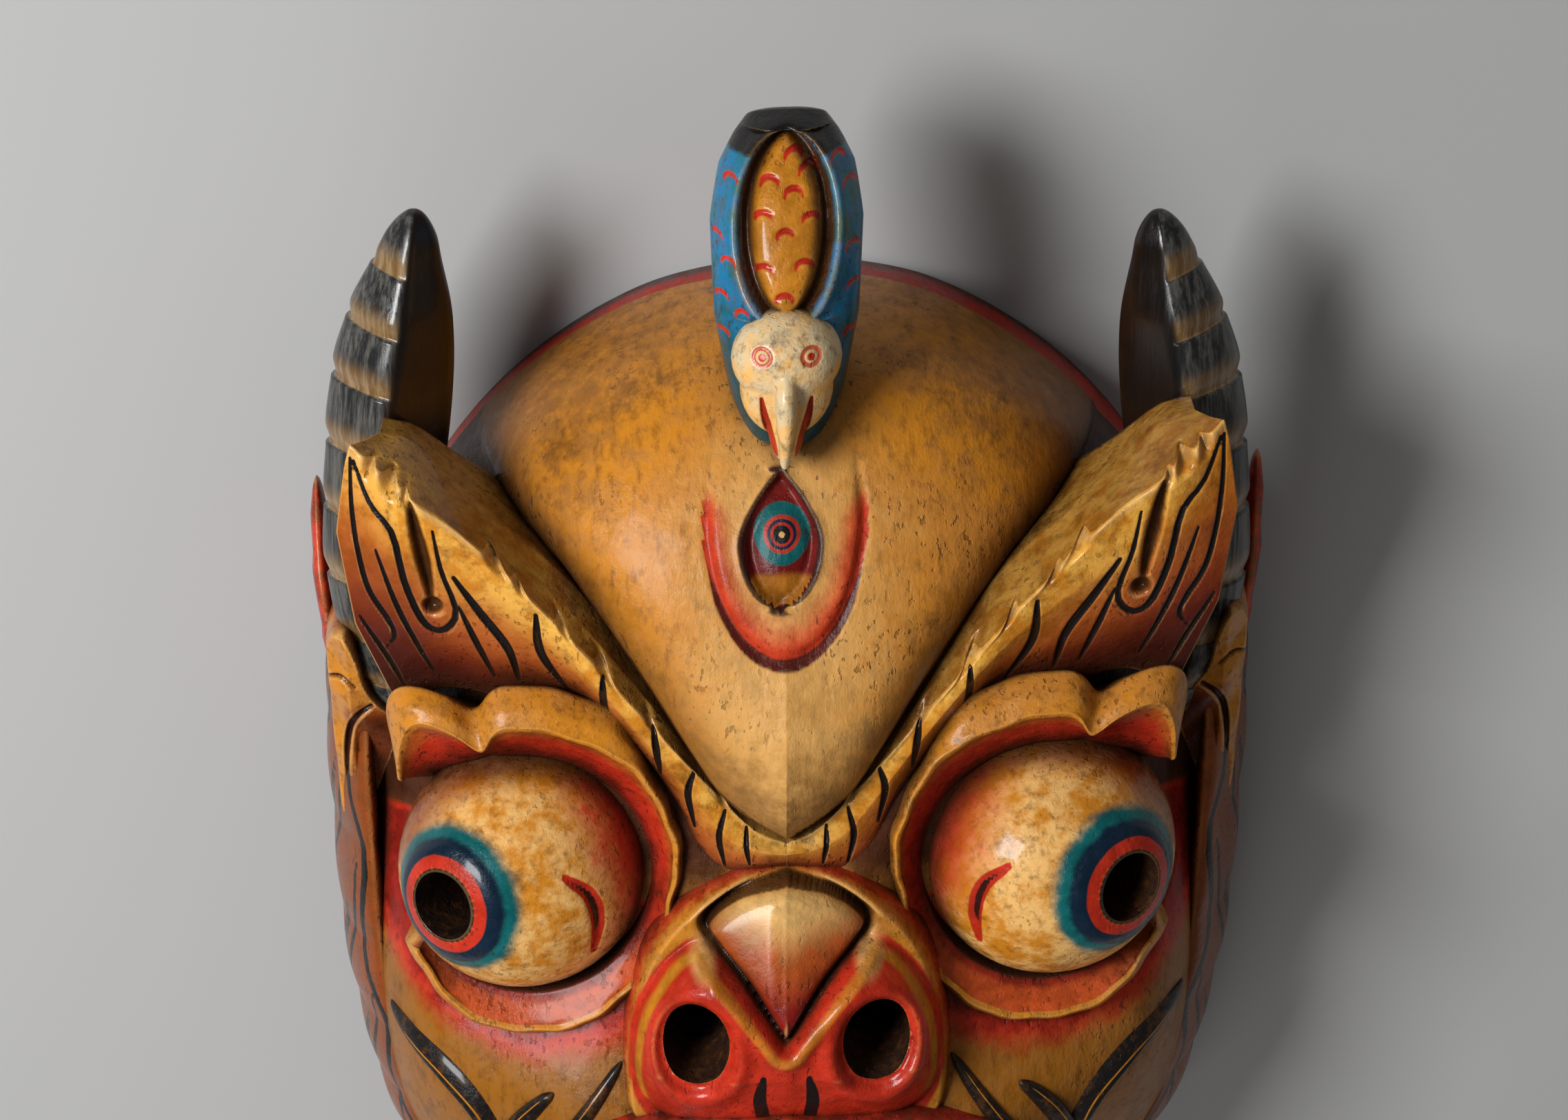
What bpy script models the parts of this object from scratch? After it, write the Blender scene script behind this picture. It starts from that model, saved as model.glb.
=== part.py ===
"""A carved and painted wooden mask of a wrathful deity, with two horns set in its temples.

It lies on its back: the cut back rim is on z = 0, the face looks up along +Z and the crown
points along +Y. All sizes are in metres.
"""

import math

import bpy
import numpy as np

MASK_HEIGHT = 0.436  # chin to the tip of the bird's tail
SIGHT_HOLE = 0.0234  # diameter of the hole through each eye
NOSTRIL_WIDTH = 0.022
NOSTRIL_HEIGHT = 0.029
SHELL_WALL = 0.017  # least wood left between the hollow and the plain skull
RIM_WALL = 0.015  # width of the flat rim that the mask rests on
RIM_BAND = 0.024  # height of the upright band above the rim
HORN_WIDTH = 0.040  # broadest part of a horn
HORN_DEPTH = 0.034  # thickness of a horn from its keel to its back
HORN_GAP = 0.0004  # clearance between a horn and its seat
HORN_RINGS = 9

CARVING_HEIGHT = 436.0  # the carving is drawn at this height, so one step of it is a millimetre
STEP = MASK_HEIGHT / CARVING_HEIGHT
CARVED_LEAN = 0.03  # the carver's right side sits a little higher than the left
FACE_TOP = 126.0
FACE_MIDDLE = -30.0
EYE = (-87.5, -33.0, 95.0)
EYE_RADIUS = 42.0
EYE_TURN = math.radians(35)
VOXEL = 3.2
MASK_TRIANGLES = 5200

# Half outline of the rim, from the crown to the chin.
OUTLINE = [(0, 148), (50, 137), (95, 108), (128, 66), (146, 20), (150, -40), (147, -100),
           (137, -160), (106, -199), (56, -214), (0, -218)]
# Guide lines of the left brow: its crease with the forehead, its front edge and its foot.
BROW_CREASE = [(0, -14, 114), (-14, -4, 113), (-25, 7, 112), (-45, 38, 108), (-69, 69, 104),
               (-89, 87, 101), (-106, 102, 98), (-120, 117, 98), (-130, 121, 100)]
BROW_EDGE = [(0, -17, 118), (-9, -13, 118), (-19, -3, 118), (-43, 25, 119), (-63, 49, 121),
             (-80, 69, 122), (-101, 92, 123), (-122, 108, 122), (-138, 122, 114)]
BROW_FOOT = [(0, -26, 114), (-15, -29, 112), (-29, -30, 106), (-33, -12, 105), (-46, 8, 103),
             (-65, 21, 101), (-90, 27, 99), (-112, 31, 97), (-127, 22, 94)]

# Half outlines of the nose's folded root, its front and its diamond bridge.
NOSE_ROOT = [(0, -22), (16, -25), (29, -31), (41, -42), (50, -57), (55, -76), (57, -95), (55, -116),
             (40, -128), (0, -131)]
NOSE_FRONT = [(0, -44), (12, -47), (24, -44), (36, -48), (46, -60), (52, -74), (54, -89), (53, -102),
              (47, -114), (34, -122), (0, -126)]
NOSE_BRIDGE = [(0, -27), (12, -30.5), (21, -36), (26, -42.5), (22, -49), (12, -60), (0, -77)]
# Outline of the left temple block.
TEMPLE_BLOCK = [(-157, 36), (-153, 43), (-147, 42), (-145, 30), (-143, 20), (-136, 12), (-129, 8),
                (-130, -6), (-136, -22), (-143, -38), (-150, -48), (-156, -40), (-157, -4)]


def smooth_line(points, count):
    """Points along a Catmull-Rom curve, the same number for each stretch."""
    points = np.array(points, float)
    ends = np.vstack([2 * points[0] - points[1], points, 2 * points[-1] - points[-2]])
    place = np.linspace(0, len(points) - 1, count)
    step = np.minimum(place.astype(int), len(points) - 2)
    t = (place - step)[:, None]
    a, b, c, d = (ends[step + k] for k in range(4))
    return 0.5 * (2 * b + (c - a) * t + (2 * a - 5 * b + 4 * c - d) * t**2
                  + (3 * b - 3 * c + d - a) * t**3)


def bump(x, y, cx, cy, wide, high):
    return np.exp(-((x - cx) / wide) ** 2 - ((y - cy) / high) ** 2)


def ease(value, low, high):
    t = np.clip((value - low) / (high - low), 0, 1)
    return t * t * (3 - 2 * t)


def rim_radius(angle):
    """Distance from the face's middle to the rim, angle measured from the crown."""
    half = smooth_line(OUTLINE, 80)
    turns = np.arctan2(half[:, 0], half[:, 1] - FACE_MIDDLE)
    return np.interp(np.abs(angle), turns, np.hypot(half[:, 0], half[:, 1] - FACE_MIDDLE))


def skull_height(share, angle):
    """Height of the plain skull at a share of the way to the rim."""
    squareness = 2.3 + 1.5 * np.clip(np.cos(angle), 0, 1) ** 2 + 0.5 * np.clip(-np.cos(angle), 0, 1)
    return FACE_TOP * np.clip(1 - share**2, 0, 1) ** (1 / squareness)


def face_height(x, y, plain):
    """Height of the carved face over the plain skull at a point."""
    side = np.abs(x)
    crease = smooth_line(BROW_CREASE, 60)
    crease_y = np.interp(side, -crease[:, 0], crease[:, 1])
    over = y - crease_y
    z = plain + 12 * (1 - np.exp(-np.clip(over, 0, None) / 13)) * ease(plain, 10, 60)
    z = z + 5 * np.exp(-side / 16) * ease(y, -16, 0) * ease(-y, -60, -20)
    z = z - 10 * ease(-over, 0, 4) * np.exp(-(over / 22) ** 2) * ease(y, -70, -30)
    z = z - 21 * bump(side, y, 84, -33, 50, 50) * ease(-over, -4, 8)
    z = z + 11 * bump(side, y, 92, -116, 42, 30)
    z = z + 12 * bump(side, y, 128, -92, 22, 42)
    z = z + 10 * bump(side, y, 52, -128, 26, 22)
    z = z + 16 * bump(x, y, 0, -196, 52, 22)
    return z


def outline_field(x, y, points):
    """Distance outside a half outline drawn from the axis back to the axis, below zero inside."""
    line = smooth_line(points, 60)
    away = np.full(x.shape, 99.0)
    inside = np.zeros(x.shape, bool)
    for a, b in zip(line[:-1], line[1:]):
        ab = b - a
        t = np.clip(((x - a[0]) * ab[0] + (y - a[1]) * ab[1]) / (ab @ ab + 1e-9), 0, 1)
        away = np.minimum(away, np.hypot(x - a[0] - t * ab[0], y - a[1] - t * ab[1]))
        meets = a[0] + (y - a[1]) * ab[0] / (ab[1] if abs(ab[1]) > 1e-9 else 1e-9)
        inside ^= ((a[1] > y) != (b[1] > y)) & (x < meets)
    return np.where(inside, -away, away)


def polar_rings(grow, carve, around=128, deep=34):
    """Rings of a domed face from its rim to its middle."""
    angle = np.linspace(-math.pi, math.pi, around, endpoint=False)
    rings = []
    for turn in np.linspace(math.pi / 2, 0.03, deep):
        share = math.sin(turn)
        radius = (rim_radius(angle) + grow) * share
        x, y = radius * np.sin(angle), FACE_MIDDLE + radius * np.cos(angle)
        z = skull_height(share, angle)
        z = face_height(x, y, z) if carve else z
        rings.append(np.stack([x, y, np.maximum(z, 0)], 1))
    return rings


def mesh_of(name, rings):
    """A closed solid lofted through rings of equal count."""
    rings = [np.array(ring, float) for ring in rings]
    count = len(rings[0])
    points = np.vstack(rings)
    faces = []
    for row in range(len(rings) - 1):
        for k in range(count):
            a, b = row * count + k, row * count + (k + 1) % count
            faces.append((a, b, b + count, a + count))
    points = np.vstack([points, rings[0].mean(0), rings[-1].mean(0)])
    low, high = len(points) - 2, len(points) - 1
    last = (len(rings) - 1) * count
    for k in range(count):
        faces.append((low, (k + 1) % count, k))
        faces.append((high, last + k, last + (k + 1) % count))
    mesh = bpy.data.meshes.new(name)
    mesh.from_pydata((points * STEP).tolist(), [], faces)
    mesh.update()
    solid = bpy.data.objects.new(name, mesh)
    bpy.context.scene.collection.objects.link(solid)
    turn_outward(solid)
    return solid


def turn_outward(solid):
    """Turns all faces over where the solid is inside out."""
    mesh = solid.data
    mesh.calc_loop_triangles()
    points = np.array([v.co[:] for v in mesh.vertices])
    corners = points[np.array([t.vertices[:] for t in mesh.loop_triangles])]
    if np.linalg.det(corners).sum() < 0:
        mesh.flip_normals()


def mirrored(rings):
    return [np.array(ring)[::-1] * (-1, 1, 1) for ring in rings]


def both_sides(name, rings):
    """The left form and its mirror image on the right."""
    return [mesh_of(name + "_left", rings), mesh_of(name + "_right", mirrored(rings))]


def tube(centres, widths, depths, count=14, upright=(0, 0, 1)):
    """Rings of an oval tube along a line, wide across it and deep along the upright."""
    centres = np.array(centres, float)
    along = np.gradient(centres, axis=0)
    along /= np.linalg.norm(along, axis=1)[:, None]
    across = np.cross(np.array(upright, float), along)
    across /= np.linalg.norm(across, axis=1)[:, None]
    up = np.cross(along, across)
    turn = np.linspace(0, 2 * math.pi, count, endpoint=False)
    return [c + w * np.cos(turn)[:, None] * a + d * np.sin(turn)[:, None] * u
            for c, w, d, a, u in zip(centres, widths, depths, across, up)]


def ball_rings(centre, radii, count=24, deep=12):
    """Rings of an oval ball."""
    turn = np.linspace(0, 2 * math.pi, count, endpoint=False)
    rings = []
    for rise in np.linspace(-0.48, 0.48, deep) * math.pi:
        ring = np.stack([np.cos(turn) * math.cos(rise), np.sin(turn) * math.cos(rise),
                         np.full(count, math.sin(rise))], 1)
        rings.append(ring * radii + centre)
    return rings


def skull():
    rings = polar_rings(0, True)
    foot = rings[0].copy()
    foot[:, 2] = -8
    band = rings[0].copy()
    band[:, 2] = RIM_BAND / STEP * 0.5
    return [mesh_of("skull", [foot, band] + rings[1:])]


def brows():
    """Two flame-shaped brows from the V of the forehead to their free tips."""
    crease, edge, foot = (smooth_line(line, 48) for line in (BROW_CREASE, BROW_EDGE, BROW_FOOT))
    rings = []
    for k, (back, front, low) in enumerate(zip(crease, edge, foot)):
        share = k / 47
        outer = share**6
        belly = np.array([-9.0 * outer, 0, 0])
        floor = 62 + 22 * ease(share, 0.6, 0.95)
        scallop = 2.0 * abs(math.sin(share * 9 * math.pi)) * ease(share, 0.1, 0.4)
        middle = [front + (low - front) * t + belly * math.sin(math.pi * t) * 1.2 + (0, 0, h)
                  for t, h in ((0.3, 3), (0.65, 2))]
        ring = [back, (back + front) / 2 + (0, 0, 2), front + (0, 0, scallop)] + middle + [low]
        ring += [np.array([low[0], low[1], floor - 4]), np.array([back[0], back[1], floor])]
        rings.append(np.array(ring))
    return both_sides("brow", rings)


def eyes():
    """The staring eyeballs, each in a hooded lid that ends in a folded ear at the temple."""
    parts = both_sides("eyeball", ball_rings(EYE, (EYE_RADIUS,) * 3))
    gaze = np.array([-math.sin(EYE_TURN), 0, math.cos(EYE_TURN)])
    parts += both_sides("cornea", ball_rings(np.array(EYE) + gaze * 17, (27, 27, 27)))
    rings = []
    for degrees in np.linspace(140, -142, 58):
        turn = math.radians(degrees)
        upper = ease(degrees, -40, 40)
        ear = math.exp(-((degrees - 119) / 9) ** 2)
        notch = math.exp(-((degrees - 104) / 5) ** 2)
        outer = 47 + 13 * upper + 9 * ear - 4 * notch
        crest = 107 + 15 * upper - 2 * ear
        crest -= 8 * ease(-degrees, 70, 140)
        inner = 41 + 3 * ear
        profile = [(inner - 4, crest - 26), (inner + 1, crest - 16), (outer - 9, crest - 4),
                   (outer - 4, crest), (outer, crest - 3), (outer + 2, crest - 14),
                   (outer + 1, 74), (inner - 4, 74)]
        direction = np.array([math.cos(turn), math.sin(turn)])
        rings.append([(EYE[0] + r * direction[0], EYE[1] + r * direction[1], z)
                      for r, z in profile])
    return parts + both_sides("lid", rings)


def nose_height(x, y):
    """Height of the nose: its folded root, the diamond bridge and two flaring wings."""
    side = np.abs(x)
    root = -outline_field(side, y, NOSE_ROOT)
    front = -outline_field(side, y, NOSE_FRONT)
    bridge = -outline_field(side, y, NOSE_BRIDGE)
    nostril = (np.hypot((side - 29.7) / 11.2, (y + 79.5) / 14.7) - 1) * 12
    z = 104 + (25 - 0.08 * side) * ease(root, -3, 8)
    lower = np.clip(-90 - y, 0, None)
    wing = 116 + (35 - 0.10 * side - 0.45 * lower) * (1 - np.exp(-np.clip(front, 0, None) / 6.0))
    ridge = np.exp(-((bridge + 5.5) / 3.0) ** 2) * ease(-y, 42, 52)
    wing = wing + 2.6 * ridge + 2.2 * np.exp(-((nostril - 4.5) / 3.6) ** 2)
    z = np.where(front > 0, np.maximum(z, wing), z)
    slit = ease(y, -46, -40)
    z = z - (4.6 + 4 * slit) * np.exp(-(np.minimum(bridge, 0) / (1.9 + 0.6 * slit)) ** 2)
    top = 137 + 0.33 * (-28 - y) - 0.36 * side
    return np.where(bridge > 0, top - (9 - 3 * slit) * np.exp(-bridge / 1.3), z)


def nose():
    across, along = np.linspace(-62, 62, 70), np.linspace(-136, -16, 66)
    x, y = np.meshgrid(across, along)
    z = nose_height(x, y)
    rings = []
    for row in range(len(along)):
        top = np.stack([x[row], y[row], z[row]], 1)
        foot = np.array([[62, along[row], 90], [-62, along[row], 90]])
        rings.append(np.vstack([top, foot]))
    return [mesh_of("nose", rings)]


def mouth():
    """Lips drawn back over the teeth, four fangs and a curled tongue, on a broad chin."""
    lips = smooth_line([(0, -116, 136), (38, -119, 128), (74, -132, 112), (84, -150, 100),
                        (68, -170, 104), (34, -181, 116), (0, -184, 120), (-34, -181, 116),
                        (-68, -170, 104), (-84, -150, 100), (-74, -132, 112),
                        (-38, -119, 128), (0, -116, 136)], 60)[:-1]
    parts = [closed_tube("lips", lips, 8.5, 10)]
    gum = [(x, -150 + (y + 150) * 0.55, 104 - abs(x) * 0.18) for x, y in
           [(-70, -150), (-36, -150), (0, -150), (36, -150), (70, -150)]]
    parts.append(mesh_of("mouth_floor", tube(smooth_line(gum, 20), np.full(20, 30.0),
                                             np.full(20, 14.0))))
    for k in range(8):
        x = (k - 3.5) * 13.5
        z = 124 - abs(x) * 0.2
        parts.append(mesh_of(f"upper_tooth_{k}", ball_rings((x, -130, z), (6.5, 9, 7), 10, 7)))
        parts.append(mesh_of(f"lower_tooth_{k}", ball_rings((x, -169, z - 6), (6.5, 8, 7), 10, 7)))
    for x, y, drop in ((-63, -133, -24), (-56, -170, 24)):
        fang = smooth_line([(x, y, 112), (x * 1.03, y + drop * 0.5, 119),
                            (x * 1.08, y + drop, 116)], 8)
        parts += both_sides(f"fang_{abs(x)}", tube(fang, np.linspace(8, 1.2, 8),
                                                   np.linspace(8, 1.2, 8), 10))
    tongue = smooth_line([(0, -146, 108), (0, -158, 124), (0, -172, 128), (0, -184, 124)], 12)
    parts.append(mesh_of("tongue", tube(tongue, [18, 19, 20, 20, 20, 19, 18, 17, 15, 12, 9, 5],
                                        np.full(12, 6.0), 14)))
    return parts


def closed_tube(name, centres, width, depth):
    """An oval tube whose ends meet."""
    long = np.vstack([centres[-2:], centres, centres[:3]])
    rings = tube(long, np.full(len(long), width), np.full(len(long), depth), 12)[2:-2]
    return mesh_of(name, rings)


def cheeks():
    """Curling leaves of the moustache, and the flames under the chin."""
    parts = []
    leaves = [[(-136, -99, 86), (-117, -108, 108), (-101, -124, 116), (-97, -148, 108)],
              [(-78, -109, 114), (-88, -120, 118), (-97, -138, 114), (-99, -156, 104)],
              [(-57, -99, 112), (-64, -114, 118), (-76, -132, 112), (-84, -156, 98)]]
    for k, leaf in enumerate(leaves):
        widths = 7.5 * np.sin(np.linspace(0.12, 2.6, 14)) + 0.8
        parts += both_sides(f"leaf_{k}", tube(smooth_line(leaf, 14), widths, np.full(14, 6.0), 10))
    for k, x in enumerate((-84, -56, -28, 0, 28, 56, 84)):
        reach = -214 + abs(x) ** 2 * 0.0042
        curl = smooth_line([(x * 0.9, reach + 30, 104 - abs(x) * 0.22),
                            (x * 0.98, reach + 14, 99 - abs(x) * 0.25),
                            (x * 1.04, reach + 2, 70 - abs(x) * 0.2)], 10)
        parts.append(mesh_of(f"beard_curl_{k}", tube(curl, 13 * np.sin(np.linspace(0.9, 2.9, 10)),
                                                     np.full(10, 9.0), 10)))
    return parts


def temples():
    """A notched block beside each horn, the flame band below it and the ear behind."""
    rings = [[(x, y, 12 + (54 + 0.22 * (y - 40)) * rise) for x, y in TEMPLE_BLOCK]
             for rise in (0, 0.5, 1)]
    parts = both_sides("temple_block", rings)
    band = smooth_line([(-147, 30, 42), (-149, -10, 42), (-148, -50, 42), (-146, -90, 41),
                        (-142, -124, 38), (-135, -154, 35), (-121, -184, 32)], 40)
    waves = 5.0 + 1.5 * np.abs(np.sin(np.linspace(0, 6.5 * math.pi, 40)))
    parts += both_sides("side_flames", tube(band, waves, np.full(40, 27.0), 12, (0.34, 0, 0.94)))
    ear = smooth_line([(-147, -4, 26), (-154, 20, 25), (-159, 48, 24), (-161, 79, 20)], 16)
    parts += both_sides("ear", tube(ear, [4, 5, 5, 5, 5, 5, 5, 4, 4, 4, 4, 3, 3, 3, 2, 1],
                                    16 * np.sin(np.linspace(0.9, 3.0, 16)) + 1, 10))
    return parts


def bird():
    """The bird that dives down the crown, with folded wings and its beak over the third eye."""
    spine = smooth_line([(0, 120, 86), (0, 140, 92), (0, 164, 94), (0, 190, 87), (0, 206, 80),
                         (0, 217.4, 75)], 30)
    place = np.linspace(0, 1, 30)
    wide = np.interp(place, [0, 0.12, 0.34, 0.56, 0.74, 0.88, 0.95, 1],
                     [14, 18.5, 23, 24.3, 21.5, 16.5, 13.5, 10])
    thick = np.interp(place, [0, 0.3, 0.6, 0.8, 0.94, 1], [24, 21, 18.5, 15, 9, 5])
    rings = []
    for ring in tube(spine, wide, thick, 36):
        # the wings stand up round a sunken oval, in which the back swells
        dy = (ring[:, 1] - 186.5) / 28
        half = 15 * np.sqrt(np.clip(1 - dy**2, 0, 1))
        oval = np.abs(ring[:, 0]) - half
        rise = 2.4 * np.exp(-((oval - 2.2) / 2.6) ** 2) - 6.2 * np.exp(-((oval + 2.6) / 2.3) ** 2)
        ring[:, 2] += np.where((np.abs(dy) < 1) & (ring[:, 2] > ring[:, 2].mean()), rise, 0)
        rings.append(ring)
    parts = [mesh_of("bird_body", rings)]
    parts.append(mesh_of("bird_neck", tube([(0, 126, 60), (0, 146, 72), (0, 168, 84)],
                                           [17, 17, 15], [26, 20, 12], 16)))
    parts.append(mesh_of("bird_head", ball_rings((0, 146, 112), (18, 18, 16))))
    beak = smooth_line([(0, 142, 120), (0, 128, 123), (0, 110, 120)], 8)
    parts.append(mesh_of("beak", tube(beak, np.linspace(8, 2, 8), np.linspace(9, 4, 8), 10)))
    return parts


def horn_rings(swell):
    """Rings of the left horn, from its seat beside the eye to its tip."""
    spine = smooth_line([(-131, 2, 54), (-135, 24, 59), (-137, 54, 61), (-133, 88, 62),
                         (-129, 122, 62), (-124, 152, 64), (-119, 182, 68)], 37)
    place = np.linspace(0, 1, 37)
    half = np.interp(place, [0, 0.15, 0.3, 0.45, 0.65, 0.85, 0.97, 1],
                     [0.15, 0.26, 0.38, 0.47, 0.5, 0.38, 0.2, 0.08])
    ridge = 1 + 0.05 * (1 - (place * HORN_RINGS % 1)) * (place < 0.93)
    wide = half * HORN_WIDTH / STEP
    deep = half * HORN_DEPTH / STEP
    along = np.gradient(spine, axis=0)
    along /= np.linalg.norm(along, axis=1)[:, None]
    across = np.cross(along, (0, 0, 1.0))
    across /= np.linalg.norm(across, axis=1)[:, None]
    up = np.cross(across, along)
    rings = []
    for k in range(37):
        ring = []
        for turn in np.linspace(0, 2 * math.pi, 16, endpoint=False):
            side, rise = math.cos(turn), math.sin(turn)
            keel = 1 + 0.16 * max(rise, 0) ** 6
            grow = ridge[k] if side < 0.2 else 1.0
            ring.append(spine[k] + across[k] * side * (wide[k] * grow + swell)
                        + up[k] * rise * keel * (deep[k] * grow + swell))
        rings.append(np.array(ring))
    if swell:
        reach = along[[0, -1]] * 2
        rings = [rings[0] - reach[0]] + rings + [rings[-1] + reach[1]]
    return rings


def hollow_tool():
    """What the carver scooped out of the back, with the holes for sight and breath."""
    inward = -RIM_WALL / STEP
    drop = -SHELL_WALL / STEP
    rings = polar_rings(inward, False, 48, 14)
    for ring in rings:
        share = 1 - ring[:, 2] / FACE_TOP
        ring[:, 2] = np.maximum(ring[:, 2] * (FACE_TOP + drop) / FACE_TOP - 4 * (1 - share), 0)
    foot = rings[0].copy()
    foot[:, 2] = -9
    return mesh_of("hollow_tool", [foot] + rings)


def holes():
    """Straight tools through the pupils and up through the nostrils."""
    gaze = np.array([-math.sin(EYE_TURN), 0, math.cos(EYE_TURN)])
    start = np.array(EYE) + gaze * 60
    radius = SIGHT_HOLE / 2 / STEP
    pupil = tube([start, np.array(EYE) - gaze * 60], [radius] * 2, [radius] * 2, 24, (0, 1, 0))
    tools = both_sides("pupil_tool", pupil)
    nostril = tube([(-30, -85.5, 176), (-28, -59, 52)], [NOSTRIL_WIDTH / 2 / STEP] * 2,
                   [NOSTRIL_HEIGHT / 2 / STEP] * 2, 24, (0, 1, 0))
    return tools + both_sides("nostril_tool", nostril)


def joined(parts, name):
    bpy.ops.object.select_all(action="DESELECT")
    for part in parts:
        part.select_set(True)
    bpy.context.view_layer.objects.active = parts[0]
    bpy.ops.object.join()
    parts[0].name = name
    return parts[0]


def applied(solid, kind, **settings):
    modifier = solid.modifiers.new(kind.title(), kind)
    for key, value in settings.items():
        setattr(modifier, key, value)
    bpy.context.view_layer.objects.active = solid
    bpy.ops.object.modifier_apply(modifier=modifier.name)


def cut_away(solid, tool):
    tool.hide_render = True
    tool.display_type = "WIRE"
    applied(solid, "BOOLEAN", object=tool, operation="DIFFERENCE", solver="EXACT")
    bpy.data.objects.remove(tool)


def lean(solid):
    """Shifts the right side of the carving up a little, as the carver left it."""
    for vertex in solid.data.vertices:
        vertex.co.y += CARVED_LEAN * vertex.co.x


def paint(solid, name, colour, roughness):
    material = bpy.data.materials.new(name)
    material.use_nodes = True
    shader = material.node_tree.nodes["Principled BSDF"]
    shader.inputs["Base Color"].default_value = (*colour, 1)
    shader.inputs["Roughness"].default_value = roughness
    shader.inputs["Metallic"].default_value = 0.0
    solid.data.materials.clear()
    solid.data.materials.append(material)


def build():
    for old in list(bpy.data.objects):
        bpy.data.objects.remove(old)
    forms = (skull, brows, eyes, nose, mouth, cheeks, temples, bird)
    mask = joined([part for form in forms for part in form()], "mask")
    lean(mask)
    applied(mask, "REMESH", mode="VOXEL", voxel_size=VOXEL * STEP)
    triangles = sum(len(face.vertices) - 2 for face in mask.data.polygons)
    applied(mask, "DECIMATE", ratio=min(1.0, MASK_TRIANGLES / triangles))
    block = [[(x, y, z) for x, y in ((-300, -300), (300, -300), (300, 300), (-300, 300))]
             for z in (-40, 0)]
    cut_away(mask, mesh_of("ground_tool", block))
    tools = [hollow_tool()] + holes()
    for tool in tools:
        lean(tool)
        cut_away(mask, tool)
    seat = HORN_GAP / STEP
    for tool in both_sides("seat_tool", horn_rings(seat)):
        cut_away(mask, tool)
    horns = both_sides("horn", horn_rings(0))
    paint(mask, "painted wood", (0.48, 0.24, 0.06), 0.35)
    for horn in horns:
        paint(horn, "polished horn", (0.02, 0.018, 0.016), 0.22)
    for solid in [mask] + horns:
        solid.data.shade_smooth()
        solid.data.set_sharp_from_angle(angle=math.radians(40))


build()
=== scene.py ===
import math

import bpy
import numpy as np
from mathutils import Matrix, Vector


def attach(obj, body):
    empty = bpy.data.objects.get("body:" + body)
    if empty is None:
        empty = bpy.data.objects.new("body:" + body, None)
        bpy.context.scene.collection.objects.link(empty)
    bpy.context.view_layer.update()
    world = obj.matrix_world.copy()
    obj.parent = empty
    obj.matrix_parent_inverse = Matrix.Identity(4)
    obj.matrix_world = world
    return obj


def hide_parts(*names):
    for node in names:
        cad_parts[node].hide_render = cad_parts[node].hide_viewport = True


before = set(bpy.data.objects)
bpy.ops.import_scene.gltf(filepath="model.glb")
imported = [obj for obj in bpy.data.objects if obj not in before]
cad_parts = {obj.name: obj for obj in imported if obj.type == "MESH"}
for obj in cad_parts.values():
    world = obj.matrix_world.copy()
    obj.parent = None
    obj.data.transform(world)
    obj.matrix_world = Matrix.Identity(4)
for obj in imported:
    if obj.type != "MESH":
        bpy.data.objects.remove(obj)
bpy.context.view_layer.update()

# A carved and painted wooden mask, seen from above as it lies on its back.
# Forms are drawn in millimetres and set down in metres.
mm = 0.001
lean = 0.03  # the side at the viewer's right sits a little higher


def smoothLine(points, count):
    # Catmull-Rom curve through the points
    points = np.array(points, float)
    ends = np.vstack([2 * points[0] - points[1], points, 2 * points[-1] - points[-2]])
    place = np.linspace(0, len(points) - 1, count)
    step = np.minimum(place.astype(int), len(points) - 2)
    t = (place - step)[:, None]
    a, b, c, d = (ends[step + k] for k in range(4))
    return 0.5 * (2 * b + (c - a) * t + (2 * a - 5 * b + 4 * c - d) * t**2
                  + (3 * b - 3 * c + d - a) * t**3)


def alongLine(line, share):
    # points of a dense line at shares of its length, 0 to 1
    place = np.linspace(0, 1, len(line))
    return np.stack([np.interp(share, place, line[:, k]) for k in range(line.shape[1])], 1)


def ease(value, low, high):
    t = np.clip((np.asarray(value, float) - low) / (high - low), 0, 1)
    return t * t * (3 - 2 * t)


def peak(value, wide):
    # one where the value is zero, and softly down to zero on both sides
    return np.exp(-(value / wide) ** 2)


def bump(x, y, cx, cy, wide, high):
    return np.exp(-((x - cx) / wide) ** 2 - ((y - cy) / high) ** 2)


def evenly(weight, count):
    # places from 0 to 1 that lie closer together where the weight is high
    fine = np.linspace(0, 1, 2000)
    total = np.concatenate([[0], np.cumsum((weight(fine[1:]) + weight(fine[:-1])) / 2)])
    return np.interp(np.linspace(0, 1, count), total / total[-1], fine)


def fromStretch(x, y, a, b):
    # how far points lie from the stretch a to b, and at which share of it
    ab = b - a
    t = np.clip(((x - a[0]) * ab[0] + (y - a[1]) * ab[1]) / (ab @ ab + 1e-9), 0, 1)
    return np.hypot(x - a[0] - t * ab[0], y - a[1] - t * ab[1]), t


def strokeField(x, y, strokes):
    # distance in mm outside the nearest tapered stroke, below zero inside it
    nearest = np.full(len(x), 99.0)
    for points, width in strokes:
        line = smoothLine(points, 26)
        swell = np.sin(np.linspace(0.35, 2.9, 26)) ** 0.8
        for k in range(25):
            away, t = fromStretch(x, y, line[k, :2], line[k + 1, :2])
            half = width / 2 * (swell[k] * (1 - t) + swell[k + 1] * t)
            nearest = np.minimum(nearest, away - half)
    return nearest


def outlineField(x, y, points):
    # distance in mm outside a closed outline, or a half one that starts and ends on the axis
    line = smoothLine(points, 60)
    away = np.full(len(x), 99.0)
    inside = np.zeros(len(x), bool)
    for a, b in zip(line[:-1, :2], line[1:, :2]):
        away = np.minimum(away, fromStretch(x, y, a, b)[0])
        run, climb = b - a
        meets = a[0] + (y - a[1]) * run / (climb if abs(climb) > 1e-9 else 1e-9)
        inside ^= ((a[1] > y) != (b[1] > y)) & (x < meets)
    return np.where(inside, -away, away)


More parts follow.
